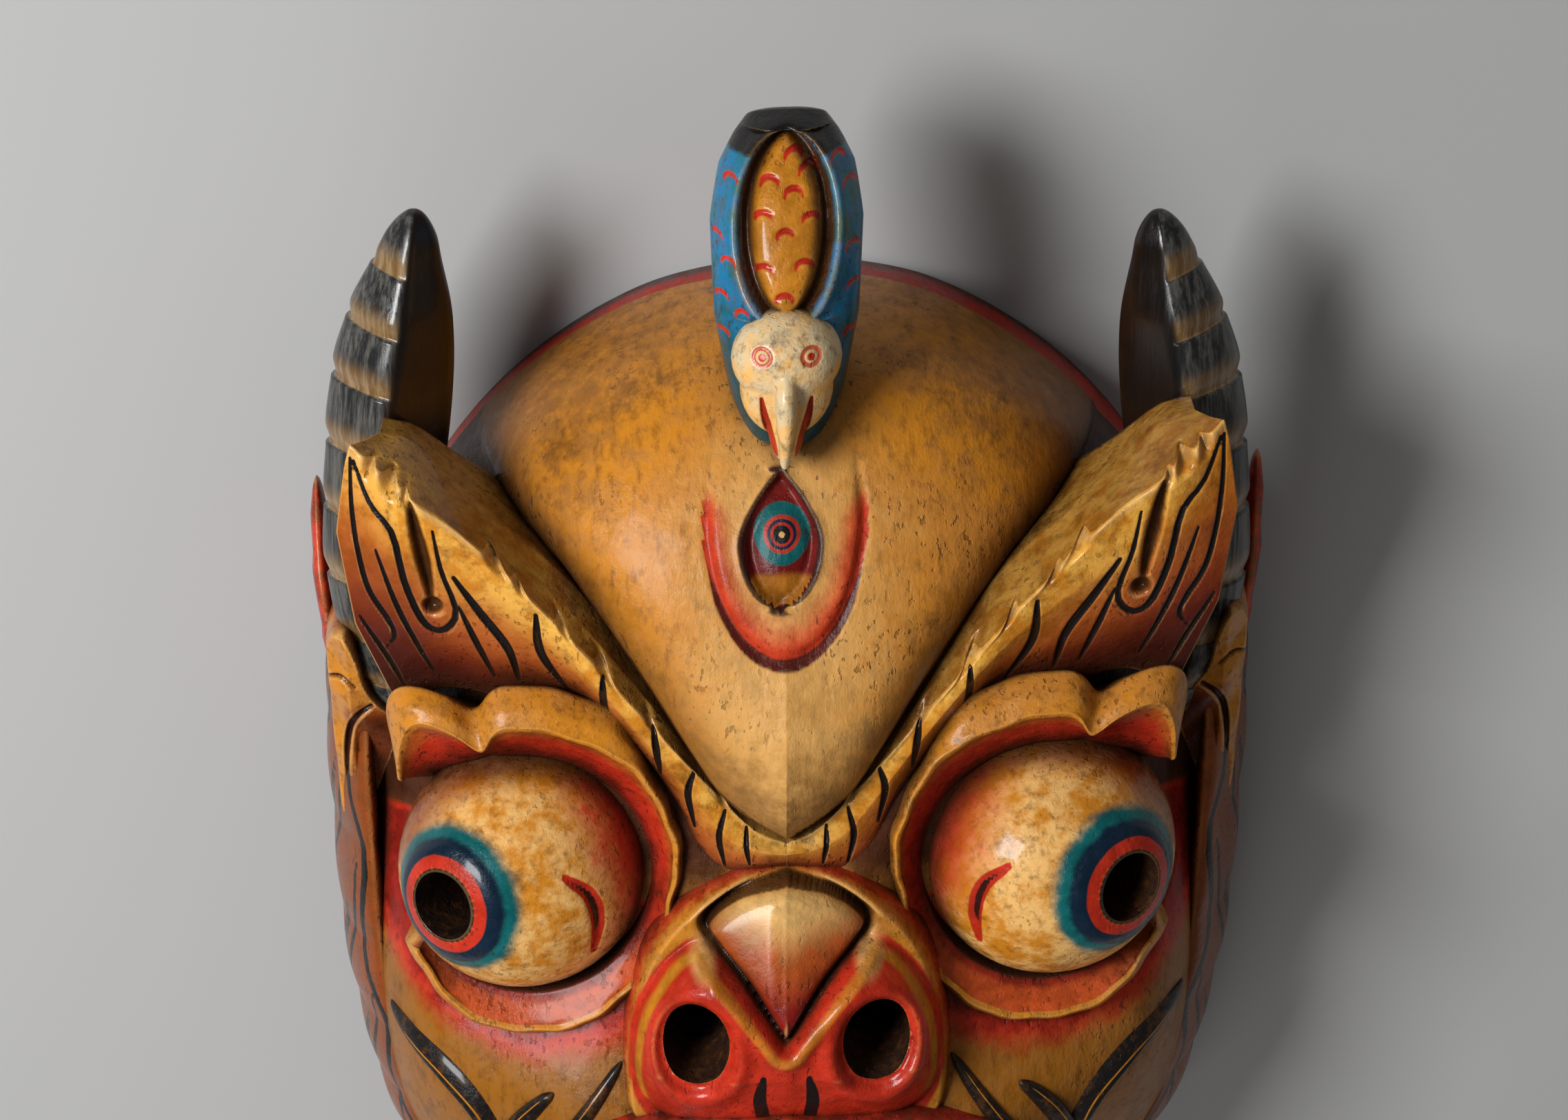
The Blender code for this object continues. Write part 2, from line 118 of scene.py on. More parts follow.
def alongStops(u, knots, stops):
    # straight runs between each row's stops, which lie at the knots
    place = np.searchsorted(knots, u, side="right").clip(1, len(knots) - 1) - 1
    rows = np.arange(len(u))
    t = ((u - knots[place]) / (knots[place + 1] - knots[place]))[:, None]
    return stops[rows, place] * (1 - t) + stops[rows, place + 1] * t


def framesOf(way, upright):
    # the directions across and over a line that runs along way
    way = way / np.linalg.norm(way, axis=1)[:, None]
    side = np.cross(np.array(upright, float), way)
    side /= np.linalg.norm(side, axis=1)[:, None]
    return side, np.cross(way, side)


def clearSelection():
    bpy.ops.object.select_all(action="DESELECT")


def turnTo(way):
    # the turn that points an object's own z along a direction
    return Vector(way).to_track_quat("Z", "Y").to_euler()


def fixPlace():
    bpy.ops.object.transform_apply(location=True, rotation=True, scale=True)


def pick(piece):
    clearSelection()
    piece.select_set(True)
    bpy.context.view_layer.objects.active = piece


def setAttribute(piece, name, values):
    mesh = piece.data
    old = mesh.attributes.get(name)
    if old:
        mesh.attributes.remove(old)
    layer = mesh.attributes.new(name, "FLOAT", "POINT")
    layer.data.foreach_set("value", np.asarray(values, np.float32))


def pointsOf(piece):
    # the vertices in millimetres
    flat = np.empty(len(piece.data.vertices) * 3)
    piece.data.vertices.foreach_get("co", flat)
    return flat.reshape(-1, 3) / mm


def putPoints(piece, points):
    piece.data.vertices.foreach_set("co", (np.asarray(points) * mm).ravel())
    piece.data.update()


def bentGrid(name, across, along, place, closed=True):
    # a flat grid bent into the form that place(u, v) gives, and closed where its edges meet
    clearSelection()
    bpy.ops.mesh.primitive_grid_add(x_subdivisions=across, y_subdivisions=along, size=2)
    piece = bpy.context.object
    piece.name = name
    piece.data.name = name
    flat = pointsOf(piece) * mm
    points, marks = place((flat[:, 0] + 1) / 2, (flat[:, 1] + 1) / 2)
    for key, values in marks.items():
        setAttribute(piece, key, values)
    putPoints(piece, points)
    bpy.ops.object.mode_set(mode="EDIT")
    bpy.ops.mesh.select_all(action="SELECT")
    bpy.ops.mesh.remove_doubles(threshold=0.00002)
    if closed:
        bpy.ops.mesh.fill_holes(sides=0)
    bpy.ops.mesh.normals_make_consistent(inside=False)
    bpy.ops.object.mode_set(mode="OBJECT")
    bpy.ops.object.shade_smooth()
    return piece


def tubePlace(line, wide, deep, marks=None, upright=(0, 0, 1), ends=0.05):
    # place function of an oval tube with round ends along a dense line; wide and deep give its
    # half sizes at a share of its length
    line = np.array(line, float)
    side, rise = framesOf(np.gradient(line, axis=0), upright)

    def place(u, v):
        turn = 2 * math.pi * u
        centre, a, b = (alongLine(form, v) for form in (line, side, rise))
        close = np.clip(np.minimum(v, 1 - v) / ends, 0, 1)
        close = np.sqrt(np.clip(1 - (1 - close) ** 2, 0, 1))
        w, d = wide(v) * close, deep(v) * close
        points = centre + a * (w * np.cos(turn))[:, None] + b * (d * np.sin(turn))[:, None]
        found = {"share": v, "turn": u}
        if marks:
            found.update(marks(u, v))
        return points, found
    return place


def heightPatch(name, across, along, low, high, floor, height):
    # a carved block over the rectangle low..high whose top is at height(x, y)
    def place(u, v):
        x = low[0] + (high[0] - low[0]) * u
        y = low[1] + (high[1] - low[1]) * v
        z, marks = height(x, y)
        edge = (u < 1e-6) | (u > 1 - 1e-6) | (v < 1e-6) | (v > 1 - 1e-6)
        return np.stack([x, y, np.where(edge, floor, z)], 1), marks
    return bentGrid(name, across, along, place)


def fromRings(name, across, along, line, wide, deep, **more):
    # a tube piece along a few points
    return bentGrid(name, across, along, tubePlace(smoothLine(line, 200), wide, deep, **more))


def shares(*values):
    # a function that runs through the values at even shares of a length
    values = np.array(values, float)
    return lambda v: np.interp(v, np.linspace(0, 1, len(values)), values)


def addBall(name, centre, radii):
    clearSelection()
    bpy.ops.mesh.primitive_uv_sphere_add(segments=32, ring_count=20, radius=mm,
                                         location=Vector(np.array(centre) * mm), scale=radii)
    ball = bpy.context.object
    ball.name = name
    fixPlace()
    return ball


def mirrorCopy(piece, name):
    # the right-hand twin of a left-hand form, with its own mesh
    twin = piece.copy()
    twin.data = piece.data.copy()
    twin.name = name
    twin.data.name = name
    bpy.context.scene.collection.objects.link(twin)
    points = pointsOf(twin)
    points[:, 0] *= -1
    putPoints(twin, points)
    twin.data.flip_normals()
    return twin


def leanOver(piece):
    points = pointsOf(piece)
    points[:, 1] += lean * points[:, 0]
    putPoints(piece, points)


def joinPieces(pieces, name):
    clearSelection()
    for piece in pieces:
        piece.select_set(True)
    bpy.context.view_layer.objects.active = pieces[0]
    bpy.ops.object.join()
    pieces[0].name = name
    pieces[0].data.name = name
    return pieces[0]


def useModifier(piece, kind, **settings):
    modifier = piece.modifiers.new(kind.title(), kind)
    for key, value in settings.items():
        setattr(modifier, key, value)
    pick(piece)
    bpy.ops.object.modifier_apply(modifier=modifier.name)


def cutWith(piece, tools):
    for tool in tools:
        useModifier(piece, "BOOLEAN", object=tool, operation="DIFFERENCE", solver="MANIFOLD")


# Materials
shaderNames = {"specular": "Specular IOR Level", "coat": "Coat Weight", "coatRough": "Coat Roughness",
               "base": "Base Color", "rough": "Roughness"}


def addNode(tree, kind, ins=None, **settings):
    node = tree.nodes.new(kind)
    for key, value in settings.items():
        setattr(node, key, value)
    for key, value in (ins or {}).items():
        if isinstance(value, bpy.types.NodeSocket):
            tree.links.new(value, node.inputs[key])
        else:
            node.inputs[key].default_value = value
    return node


def combine(tree, how, a, b):
    return addNode(tree, "ShaderNodeMath", {0: a, 1: b}, operation=how).outputs[0]


def plus(tree, a, b):
    return combine(tree, "ADD", a, b)


def minus(tree, a, b):
    return combine(tree, "SUBTRACT", a, b)


def times(tree, a, b):
    return combine(tree, "MULTIPLY", a, b)


def spread(tree, value, low, high, start=0.0, stop=1.0):
    # maps low..high to start..stop with soft ends
    return addNode(tree, "ShaderNodeMapRange", {"Value": value, "From Min": low, "From Max": high,
                   "To Min": start, "To Max": stop}, interpolation_type="SMOOTHSTEP").outputs[0]


def mixColour(tree, share, first, second, how="MIX"):
    node = tree.nodes.new("ShaderNodeMix")
    node.data_type = "RGBA"
    node.blend_type = how
    for slot, value in ((0, share), (6, first), (7, second)):
        if isinstance(value, bpy.types.NodeSocket):
            tree.links.new(value, node.inputs[slot])
        else:
            node.inputs[slot].default_value = value if slot == 0 else (*value, 1)
    return node.outputs[2]


def noise(tree, where, scale, detail=4.0, rough=0.6):
    return addNode(tree, "ShaderNodeTexNoise", {"Vector": where, "Scale": scale, "Detail": detail,
                   "Roughness": rough}).outputs["Fac"]


def newMaterial(name):
    material = bpy.data.materials.new(name)
    material.use_nodes = True
    return material, material.node_tree, material.node_tree.nodes["Principled BSDF"]


def setShader(shader, **values):
    for key, value in values.items():
        shader.inputs[shaderNames[key]].default_value = value


def attributeOf(tree, name):
    return addNode(tree, "ShaderNodeAttribute", attribute_name=name).outputs["Fac"]


def stretched(tree, where, scale, turn=(0, 0, 0)):
    return addNode(tree, "ShaderNodeMapping", {"Vector": where, "Scale": scale,
                   "Rotation": turn}).outputs[0]


paintLook = {
    "ochre": (0.52, 0.205, 0.032), "cream": (0.80, 0.46, 0.15), "umber": (0.125, 0.044, 0.009),
    "ivory": (0.74, 0.52, 0.25), "gold": (0.58, 0.215, 0.016), "orange": (0.44, 0.085, 0.014),
    "vermilion": (0.58, 0.032, 0.012), "crimson": (0.22, 0.010, 0.008), "maroon": (0.045, 0.010, 0.008),
    "teal": (0.006, 0.135, 0.140), "navy": (0.006, 0.020, 0.042), "black": (0.009, 0.008, 0.008),
    "blue": (0.008, 0.170, 0.35), "deepTeal": (0.006, 0.070, 0.080), "pink": (0.60, 0.12, 0.055),
    "bone": (0.66, 0.52, 0.31), "rawWood": (0.20, 0.105, 0.048), "grimeAndShade": (0.030, 0.011, 0.005),
    "brightGold": (0.80, 0.42, 0.07), "redOrange": (0.56, 0.085, 0.016), "sienna": (0.15, 0.040, 0.007),
}


def paintedWood(name, light, dark, layers=(), gloss=0.30, grain=1.0, dirtAndShade=0.75, wearAndHighlight=0.35,
                streak=(1.0, 1.0, 1.0), spots=1.0, coat=0.30):
    # brushed paint over carved wood: a layer is (attribute, from, to, colour, wobble, most),
    # where most is how much of it covers, and 1 if left out
    material, tree, shader = newMaterial(name)
    where = addNode(tree, "ShaderNodeTexCoord").outputs["Object"]
    broad = noise(tree, where, 30.0, 5.0, 0.65)
    mottle = noise(tree, where, 130.0, 5.0, 0.65)
    brush = noise(tree, stretched(tree, where, [300 * pull for pull in streak]), 1.0, 5.0, 0.65)
    tone = plus(tree, times(tree, broad, 0.5), times(tree, mottle, 0.5))
    colour = mixColour(tree, spread(tree, tone, 0.42, 0.57), paintLook[dark], paintLook[light])
    colour = mixColour(tree, spread(tree, brush, 0.48, 0.74, 0.0, 0.62), colour, paintLook["umber"])
    clouds = spread(tree, noise(tree, where, 55.0, 6.0, 0.75), 0.52, 0.70, 0.0, 0.62 * spots)
    colour = mixColour(tree, clouds, colour, paintLook["umber"])
    for layer in layers:
        key, low, high, paint, wobble, most = tuple(layer) + (1.0,) * (6 - len(layer))
        value = attributeOf(tree, key)
        if wobble:
            shake = times(tree, minus(tree, mottle, 0.5), wobble * 2.2)
            value = plus(tree, value, shake)
        share = spread(tree, value, low, high, 0.0, most)
        shade = paintLook[paint]
        shade = mixColour(tree, spread(tree, tone, 0.38, 0.62), tuple(c * 0.62 for c in shade), shade)
        colour = mixColour(tree, share, colour, shade)
    # rubbed high edges painted lighter, wear that is also a painted highlight; grime and painted shade in
    # the hollows, from how closed in each point is; dark pits and scratches
    edges = addNode(tree, "ShaderNodeNewGeometry").outputs["Pointiness"]
    bright = times(tree, spread(tree, edges, 0.515, 0.56), wearAndHighlight)
    colour = mixColour(tree, bright, colour, paintLook["cream"])
    hollow = addNode(tree, "ShaderNodeAmbientOcclusion", {"Distance": 0.018}, samples=5,
                     only_local=False).outputs["AO"]
    # darker where the surface is closed in: grime together with painted shade
    hollowGrimeAndShade = plus(tree, hollow, times(tree, minus(tree, tone, 0.5), 0.9))
    hollowGrimeAndShade = spread(tree, hollowGrimeAndShade, 0.86, 0.30, 0.0, dirtAndShade)
    colour = mixColour(tree, hollowGrimeAndShade, colour, paintLook["grimeAndShade"])
    patches = plus(tree, broad, times(tree, minus(tree, 1.0, hollow), 0.3))
    patches = spread(tree, patches, 0.46, 0.66)
    pits = spread(tree, noise(tree, stretched(tree, where, (520, 300, 420), (0, 0, 0.5)), 1.0, 2.0, 0.5),
                  0.60, 0.68)
    pitted = times(tree, pits, patches)
    colour = mixColour(tree, times(tree, pitted, 0.5 * spots), colour, paintLook["grimeAndShade"])
    tree.links.new(colour, shader.inputs["Base Color"])
    rough = spread(tree, mottle, 0.3, 0.7, gloss - 0.06, gloss + 0.16)
    tree.links.new(rough, shader.inputs["Roughness"])
    height = plus(tree, times(tree, brush, 0.8), times(tree, mottle, 0.9))
    height = minus(tree, height, times(tree, pitted, 0.7))
    relief = addNode(tree, "ShaderNodeBump", {"Strength": 0.6 * grain, "Distance": 0.0011,
                     "Height": height})
    tree.links.new(relief.outputs[0], shader.inputs["Normal"])
    setShader(shader, specular=0.14, coat=coat, coatRough=0.12)
    return material


def give(piece, material):
    piece.data.materials.clear()
    piece.data.materials.append(material)


# The face: a hollowed shell with its forehead, eye sockets, cheeks and chin
face = {
    "top": 126.0, "middle": -30.0, "rimWall": 15.0, "shellWall": 17.0, "cells": (400, 165),
    "hollowCells": (150, 70),
    "outline": [(0, 148), (50, 137), (95, 108), (128, 66), (146, 20), (150, -40), (147, -100),
                (137, -160), (106, -199), (56, -214), (0, -218)],
    "crease": [(0, -14, 114), (-14, -4, 113), (-25, 7, 112), (-45, 38, 108), (-69, 69, 104),
               (-89, 87, 101), (-106, 102, 98), (-120, 117, 98), (-130, 121, 100)],
    "thirdEye": (-1.5, 90.0), "bag": (-0.5, 96.0),
    # swells of the cheeks, lip and chin: height, middle across and along, spread across and along
    "swells": [(11, 92, -116, 42, 30), (12, 128, -92, 22, 42), (10, 52, -128, 26, 22),
               (16, 0, -196, 52, 22)],
    "eyeDish": (21, 84, -33, 50, 50), "browDrop": 13, "thinWood": 2.6,
}


def rimRadius(angle):
    half = smoothLine(face["outline"], 80)
    turns = np.arctan2(half[:, 0], half[:, 1] - face["middle"])
    return np.interp(np.abs(angle), turns, np.hypot(half[:, 0], half[:, 1] - face["middle"]))


def skullHeight(share, angle):
    squareness = 2.3 + 1.5 * np.clip(np.cos(angle), 0, 1) ** 2 + 0.5 * np.clip(-np.cos(angle), 0, 1)
    return face["top"] * np.clip(1 - share**2, 0, 1) ** (1 / squareness)


def almond(x, y):
    # about the distance in mm outside the third eye's pointed opening
    dx, dy = np.abs(x - face["thirdEye"][0] + 0.3), y - 88.0
    half = np.where(dy > 0, 12.6 * np.clip(1 - (dy / 20.5) ** 1.5, 0, 1) ** 0.9,
                    12.6 * np.sqrt(np.clip(1 - (dy / 19.8) ** 2, 0, 1)))
    outside = np.hypot(dx, dy * 0.62) - 12.6
    return np.where(np.abs(dy) < 20.5, (dx - half) * 0.85, np.maximum(outside, 0.5))


def bagField(x, y):
    # distance in mm outside the U-shaped bag under the third eye
    dx, dy = x - face["bag"][0], y - face["bag"][1]
    below = np.hypot(dx / 25.5, np.minimum(dy, 0) / 46.0)
    wide = 25.5 - np.clip(dy, 0, 40) * 0.12
    return np.where(dy < 0, (below - 1) * 27.0, np.abs(dx) - wide)


def creaseLine(side, beyond=None):
    # where the crease between forehead and brow lies at a distance from the axis
    crease = smoothLine(face["crease"], 60)
    return np.interp(side, -crease[:, 0], crease[:, 1], right=beyond)


def faceHeight(x, y, plain):
    side = np.abs(x)
    over = y - creaseLine(side)
    z = plain + 12 * (1 - np.exp(-np.clip(over, 0, None) / 13)) * ease(plain, 10, 60)
    z = z + 5 * np.exp(-side / 16) * ease(y, -16, 0) * ease(-y, -60, -20)
    z = z - face["browDrop"] * ease(-over, 0, 4) * peak(over, 24) * ease(y, -70, -30)
    z = z - face["eyeDish"][0] * bump(side, y, *face["eyeDish"][1:]) * ease(-over, -4, 8)
    for high, *spot in face["swells"]:
        z = z + high * bump(side, y, *spot)
    # inside the lids the wood is cut down to a thin wall
    ceiling = plain * (face["top"] - face["shellWall"]) / face["top"] + face["thinWood"]
    rho = np.hypot(side - 87.5, y + 33)
    sunk = np.maximum(z - 40, np.minimum(ceiling, z))
    z = z + (sunk - z) * ease(-rho, -52, -46)
    # the third eye sinks in its almond, and the bag swells inside its dark line
    bag = bagField(x, y)
    fade = ease(-y, -118, -96)
    z = z + fade * (1.7 * ease(-bag, 0, 4) - 1.3 * peak(bag + 0.6, 1.3))
    hole = almond(x, y)
    deep = ease(-hole, 0, 3.4)
    lens = 3.6 * np.clip(1 - ((x + 1.8) / 9.6) ** 2 - ((y - 87.0) / 17.5) ** 2, 0, 1) ** 0.6
    return z - 4.4 * deep + lens * deep + 0.7 * peak(hole - 0.9, 0.9)


def surfaceAt(x, y):
    x, y = np.asarray(x, float), np.asarray(y, float)
    angle = np.arctan2(x, y - face["middle"])
    share = np.hypot(x, y - face["middle"]) / rimRadius(angle)
    return faceHeight(x, y, skullHeight(share, angle))


def facePlace(u, v):
    turns = evenly(lambda t: 1 + 2.2 * peak(t - 0.5, 0.035), 2001)
    angle = (np.interp(u, np.linspace(0, 1, 2001), turns) - 0.5) * 2 * math.pi
    rise = evenly(lambda t: 1.3 - 0.5 * t, 2001)
    turn = (1 - np.interp(v, np.linspace(0, 1, 2001), rise) * 0.9985) * math.pi / 2
    share = np.sin(turn)
    radius = rimRadius(angle) * share
    x, y = radius * np.sin(angle), face["middle"] + radius * np.cos(angle)
    z = np.maximum(faceHeight(x, y, skullHeight(share, angle)), 0)
    side = np.abs(x)
    crease = creaseLine(side, 130)
    # paint: how red the skin is round the eyes, the rings of the third eye, the painted shade along the
    # crease, in the valley under the brows and towards the sides, and the painted highlight down the
    # middle
    dx, dy = 87.5 - side, y + 33.0
    away, turnEye = np.hypot(dx, dy), np.arctan2(dy, dx)
    lower = ease(-np.sin(turnEye), 0.05, 0.5)
    outer = ease(-np.cos(turnEye), 0.3, 0.9) * ease(-np.sin(turnEye), -0.35, 0.1)
    blush = away - 43 - 11 * np.maximum(lower, outer * 1.1) + 30 * (1 - np.maximum(lower, outer))
    eyeX, eyeY = x - face["thirdEye"][0], (y - face["thirdEye"][1]) * 1.05
    pupil = np.hypot(eyeX, eyeY)
    hole = almond(x, y)
    fade = ease(-y, -120, -92)
    bag = bagField(x, y)
    marks = {"blush": blush, "pupil": pupil, "almond": hole,
             "iris": np.maximum(np.hypot(eyeX, eyeY * 0.93), hole + 11.2),
             "bagRed": np.where(bag < 1.5, np.abs(bag + 0.5), 30) + 26 * (1 - fade),
             "bagLine": np.abs(bag - 0.4) + 3.0 * (1 - ease(-y, -100, -66)),
             "eyeLow": np.where(hole < -0.5, y - 79 + np.abs(eyeX) * 0.1, 9),
             "band": z - 6 * ease(x, 20, 100) + 4 * ease(-x, 20, 100),
             # crease and valley mark where shade is painted; middle marks a painted highlight down the
             # dome and painted shade towards the sides
             "crease": np.where(y > crease - 3, y - crease, 30) + 9 * ease(y, 68, 92),
             "valley": np.where(y < crease, 0, 70) + 90 * ease(y, 80, 100) * ease(side, 118, 128)
             + 90 * ease(-y, 18, 62) + 60 * ease(-side, -24, -16) * ease(-y, 24, 32),
             "middle": side + 60 * ease(-y, 12, 30) + 25 * ease(y, 90, 140)}
    return np.stack([x, y, z], 1), marks


def makeHollow(grow):
    # what the carver scooped out of the back; a grown one trims the pieces set on the face
    def place(u, v):
        angle = (u - 0.5) * 2 * math.pi
        climb = np.clip((v - 0.04) / 0.96, 0, 1)
        share = np.sin((1 - climb * 0.998) * math.pi / 2)
        radius = (rimRadius(angle) - face["rimWall"] + grow) * share
        x, y = radius * np.sin(angle), face["middle"] + radius * np.cos(angle)
        z = skullHeight(share, angle)
        low = 1 - z / face["top"]
        z = np.maximum(z * (face["top"] - face["shellWall"]) / face["top"] - 4 * (1 - low), 0)
        gouge = 0.7 * np.sin(angle * 41 + 3 * np.sin(share * 17)) * np.sin(share * 47)
        z = np.where(v < 0.02, -9, z + (gouge + grow) * ease(z, 6, 30))
        return np.stack([x, y, z], 1), {}
    return bentGrid("hollow tool", *face["hollowCells"], place)


eye = {"centre": np.array([-87.5, -33.0, 95.0]), "radius": 42.0, "turn": math.radians(35),
       "sightHole": 23.4, "blackRing": 20.6, "lidCells": (72, 300),
       # the lid's crest: turn in degrees about the eye, distance from its centre, height
       "crest": [(-142, 46, 103), (-116, 51.5, 110), (-90, 54, 114.5), (-60, 53, 117), (-30, 50.5, 118),
                 (-15, 50, 118), (0, 50.5, 119), (20, 54, 121), (45, 57.5, 122), (70, 59, 122),
                 (94, 58.5, 121), (103, 52, 118), (110, 60, 118), (119, 68, 115), (128, 62, 110),
                 (140, 52, 103)]}
nostril = {"front": (30, -85.5, 176), "back": (28, -59, 52), "wide": 22, "high": 29}
gaze = np.array([-math.sin(eye["turn"]), 0.02, math.cos(eye["turn"])])


def makeSightTools():
    tools = []
    for sign in (-1, 1):
        way = gaze * (-sign, 1, 1)
        middle = eye["centre"] * (-sign, 1, 1)
        clearSelection()
        bpy.ops.mesh.primitive_cylinder_add(vertices=64, radius=eye["sightHole"] / 2 * mm,
                                            depth=0.13, location=Vector(middle * mm),
                                            rotation=turnTo(way))
        tools.append(bpy.context.object)
        start, stop = (np.array(nostril[end]) * (sign, 1, 1) for end in ("front", "back"))
        bpy.ops.mesh.primitive_cylinder_add(vertices=64, radius=0.5, depth=1,
                                            location=Vector((start + stop) / 2 * mm),
                                            rotation=turnTo(start - stop),
                                            scale=(nostril["wide"] * mm, nostril["high"] * mm, 0.13))
        tools.append(bpy.context.object)
    for tool in tools:
        pick(tool)
        fixPlace()
    return tools


# cream down the middle is a painted highlight, and umber towards the sides and lower down is painted
# shade; umber and maroon along the crease and in the valley under the brows are painted shade
shellWood = paintedWood("painted face wood", "ochre", "gold", [
    ("middle", 50, 5, "cream", 30, 0.7), ("middle", 50, 104, "umber", 46, 0.55),
    ("crease", 34, 3, "umber", 16, 0.62), ("crease", 2.6, 0.8, "maroon", 0.6, 0.9),
    ("valley", 62, 8, "umber", 12, 0.9), ("valley", 30, 0, "maroon", 9, 0.75),
    ("blush", 17, 6, "vermilion", 6, 1.0), ("blush", 9, 2, "crimson", 5, 0.75),
    ("band", 17.0, 15.5, "vermilion", 0.0),
    ("bagRed", 11.0, 1.5, "vermilion", 3.0, 0.95), ("bagLine", 1.5, 0.7, "maroon", 0.3, 0.9),
    ("almond", 1.6, 0.6, "maroon", 0.3), ("almond", -0.4, -1.4, "crimson", 0.5, 0.8),
    ("eyeLow", 0.5, -2.5, "gold", 1.5, 0.8), ("iris", 9.4, 8.7, "teal", 0.6),
    ("pupil", 6.2, 5.8, "vermilion", 0.3, 0.9), ("pupil", 4.9, 4.6, "navy", 0.2),
    ("pupil", 3.9, 3.6, "vermilion", 0.2, 0.8), ("pupil", 3.0, 2.7, "black", 0.2),
    ("pupil", 1.2, 0.9, "cream", 0.0)], gloss=0.32, wearAndHighlight=0.12, streak=(1.0, 0.35, 0.5), coat=0.07)
backWood = paintedWood("raw hollowed wood", "rawWood", "umber", gloss=0.62, dirtAndShade=0.4, wearAndHighlight=0.1,
                       streak=(1.4, 0.10, 1.0))
# the walls of the bores through eyes and nostrils are painted near black: painted shade over the raw wood
boreShadeWood = paintedWood("bore painted dark as shade", "grimeAndShade", "black", gloss=0.5, dirtAndShade=0.9, wearAndHighlight=0.0, spots=0.3)

shell = bentGrid("mask_face", *face["cells"], facePlace)
hollowTool, trimTool = makeHollow(0), makeHollow(1.6)
sightTools = makeSightTools()
give(shell, shellWood)
shell.data.materials.append(backWood)
for tool in [hollowTool, trimTool] + sightTools:
    give(tool, boreShadeWood if tool in sightTools else backWood)
    tool.hide_render = True
cutWith(shell, [hollowTool] + sightTools)
print("face shell", len(shell.data.vertices))


# The eyeballs, with painted rings about the bored pupils
def makeEyeball():
    clearSelection()
    bpy.ops.mesh.primitive_uv_sphere_add(segments=160, ring_count=96, radius=eye["radius"] * mm,
                                         location=Vector(eye["centre"] * mm),
                                         rotation=turnTo(gaze))
    ball = bpy.context.object
    ball.name = "eyeball_left"
    fixPlace()
    bpy.ops.object.shade_smooth()
    points = pointsOf(ball)
    out = (points - eye["centre"]) / eye["radius"]
    fromGaze = np.linalg.norm(np.cross(out, gaze), axis=1) * eye["radius"]
    fromGaze = np.where(out @ gaze > 0, fromGaze, 99)
    # the cornea stands a little proud, and its ring of black is a shallow step
    proud = 2.2 * ease(-fromGaze, -27, -17) - 0.5 * peak(fromGaze - eye["blackRing"], 0.7)
    x, y = points[:, 0], points[:, 1]
    gouge = strokeField(x, y, [([(-72, -22), (-64, -30), (-61.5, -41), (-63.5, -54)], 4.2)])
    gouge = np.where(points[:, 2] > 100, gouge, 9)
    proud = proud - 1.6 * ease(-gouge, -0.3, 1.6)
    points = points + out * proud[:, None]
    putPoints(ball, points)
    inner = (x - eye["centre"][0]) * 0.82 + (y - eye["centre"][1]) * 0.28
    setAttribute(ball, "ring", fromGaze)
    setAttribute(ball, "gouge", gouge)
    setAttribute(ball, "inner", inner)
    rim = np.hypot(x - eye["centre"][0] - 3, y - eye["centre"][1] + 3)
    setAttribute(ball, "upper", rim * ease(y - eye["centre"][1], -18, 8))
    return ball


eyeWood = paintedWood("painted eyeball", "cream", "gold", [
    ("inner", 17, 33, "vermilion", 9, 0.9), ("inner", 26, 40, "crimson", 6, 0.9),
    ("upper", 38, 45, "crimson", 5, 0.7),
    ("gouge", 0.5, 0.0, "vermilion", 0.2), ("gouge", -0.9, -1.3, "maroon", 0.2),
    ("ring", 27.2, 23.2, "teal", 2.2), ("ring", 22.0, 20.0, "navy", 1.2),
    ("ring", 16.3, 15.8, "vermilion", 0.5), ("ring", 12.3, 11.9, "black", 0.2)],
    gloss=0.22, grain=0.8, dirtAndShade=0.8, wearAndHighlight=0.1)
ballLeft = makeEyeball()
give(ballLeft, eyeWood)
ballRight = mirrorCopy(ballLeft, "eyeball_right")
for ball in (ballLeft, ballRight):
    ball.data.materials.append(boreShadeWood)
    cutWith(ball, [trimTool] + sightTools)


# The lids: a rolled rim round each eye that ends in a folded ear at the temple
def lidPlace(u, v):
    crest = np.array(eye["crest"], float)
    degrees = -142 + 282 * v
    dense = smoothLine(crest, 400)
    top = np.interp(degrees, dense[:, 0], dense[:, 1])
    high = np.interp(degrees, dense[:, 0], dense[:, 2])
    upper = ease(degrees, -60, 50)
    shelf = ease(degrees, 42, 62) * ease(-degrees, -141, -122)
    foot = top + 7 - 5.5 * upper + 9.5 * shelf
    turn = np.radians(degrees)
    wobble = 0.5 * np.sin(turn * 9) + 0.3 * np.sin(turn * 23 + 1)
    # round the section: crease, hollow red band, rolled rim, outer wall, back to the crease
    knots = np.array([0, 0.06, 0.20, 0.34, 0.42, 0.47, 0.52, 0.58, 0.70, 0.85, 1.0])
    even = np.ones_like(top)
    reach = [38.5 * even, 42.0 * even, 43.8 + (top - 45) * 0.25, 45 + (top - 45) * 0.72,
             top - 1.2, top, top + 0.9, top + 0.4 * (foot - top) + 0.8, foot + 0.5, 50 * even,
             38.5 * even]
    sink = 0.36 + 0.64 * ease(degrees, -60, 50)
    level = [high - 24, high - 17.5 * sink, high - 12.5 * sink, high - 4.5 * sink, high - 0.9, high,
             high - 0.7, high - 5 + 2.6 * shelf, high - 19 + 9.5 * shelf, 70 * even, high - 24]
    stops = np.stack([np.stack(reach, 1), np.stack(level, 1)], 2)
    r, z = alongStops(u, knots, stops).T
    r = r + wobble * ease(u, 0.3, 0.45) * ease(-u, -0.9, -0.7)
    x = eye["centre"][0] + r * np.cos(turn)
    y = eye["centre"][1] + r * np.sin(turn)
    lower = ease(-degrees, 10, 60) * ease(-u, -0.41, -0.37) * ease(u, 0.08, 0.14)
    return np.stack([x, y, z], 1), {"section": u, "lower": lower}


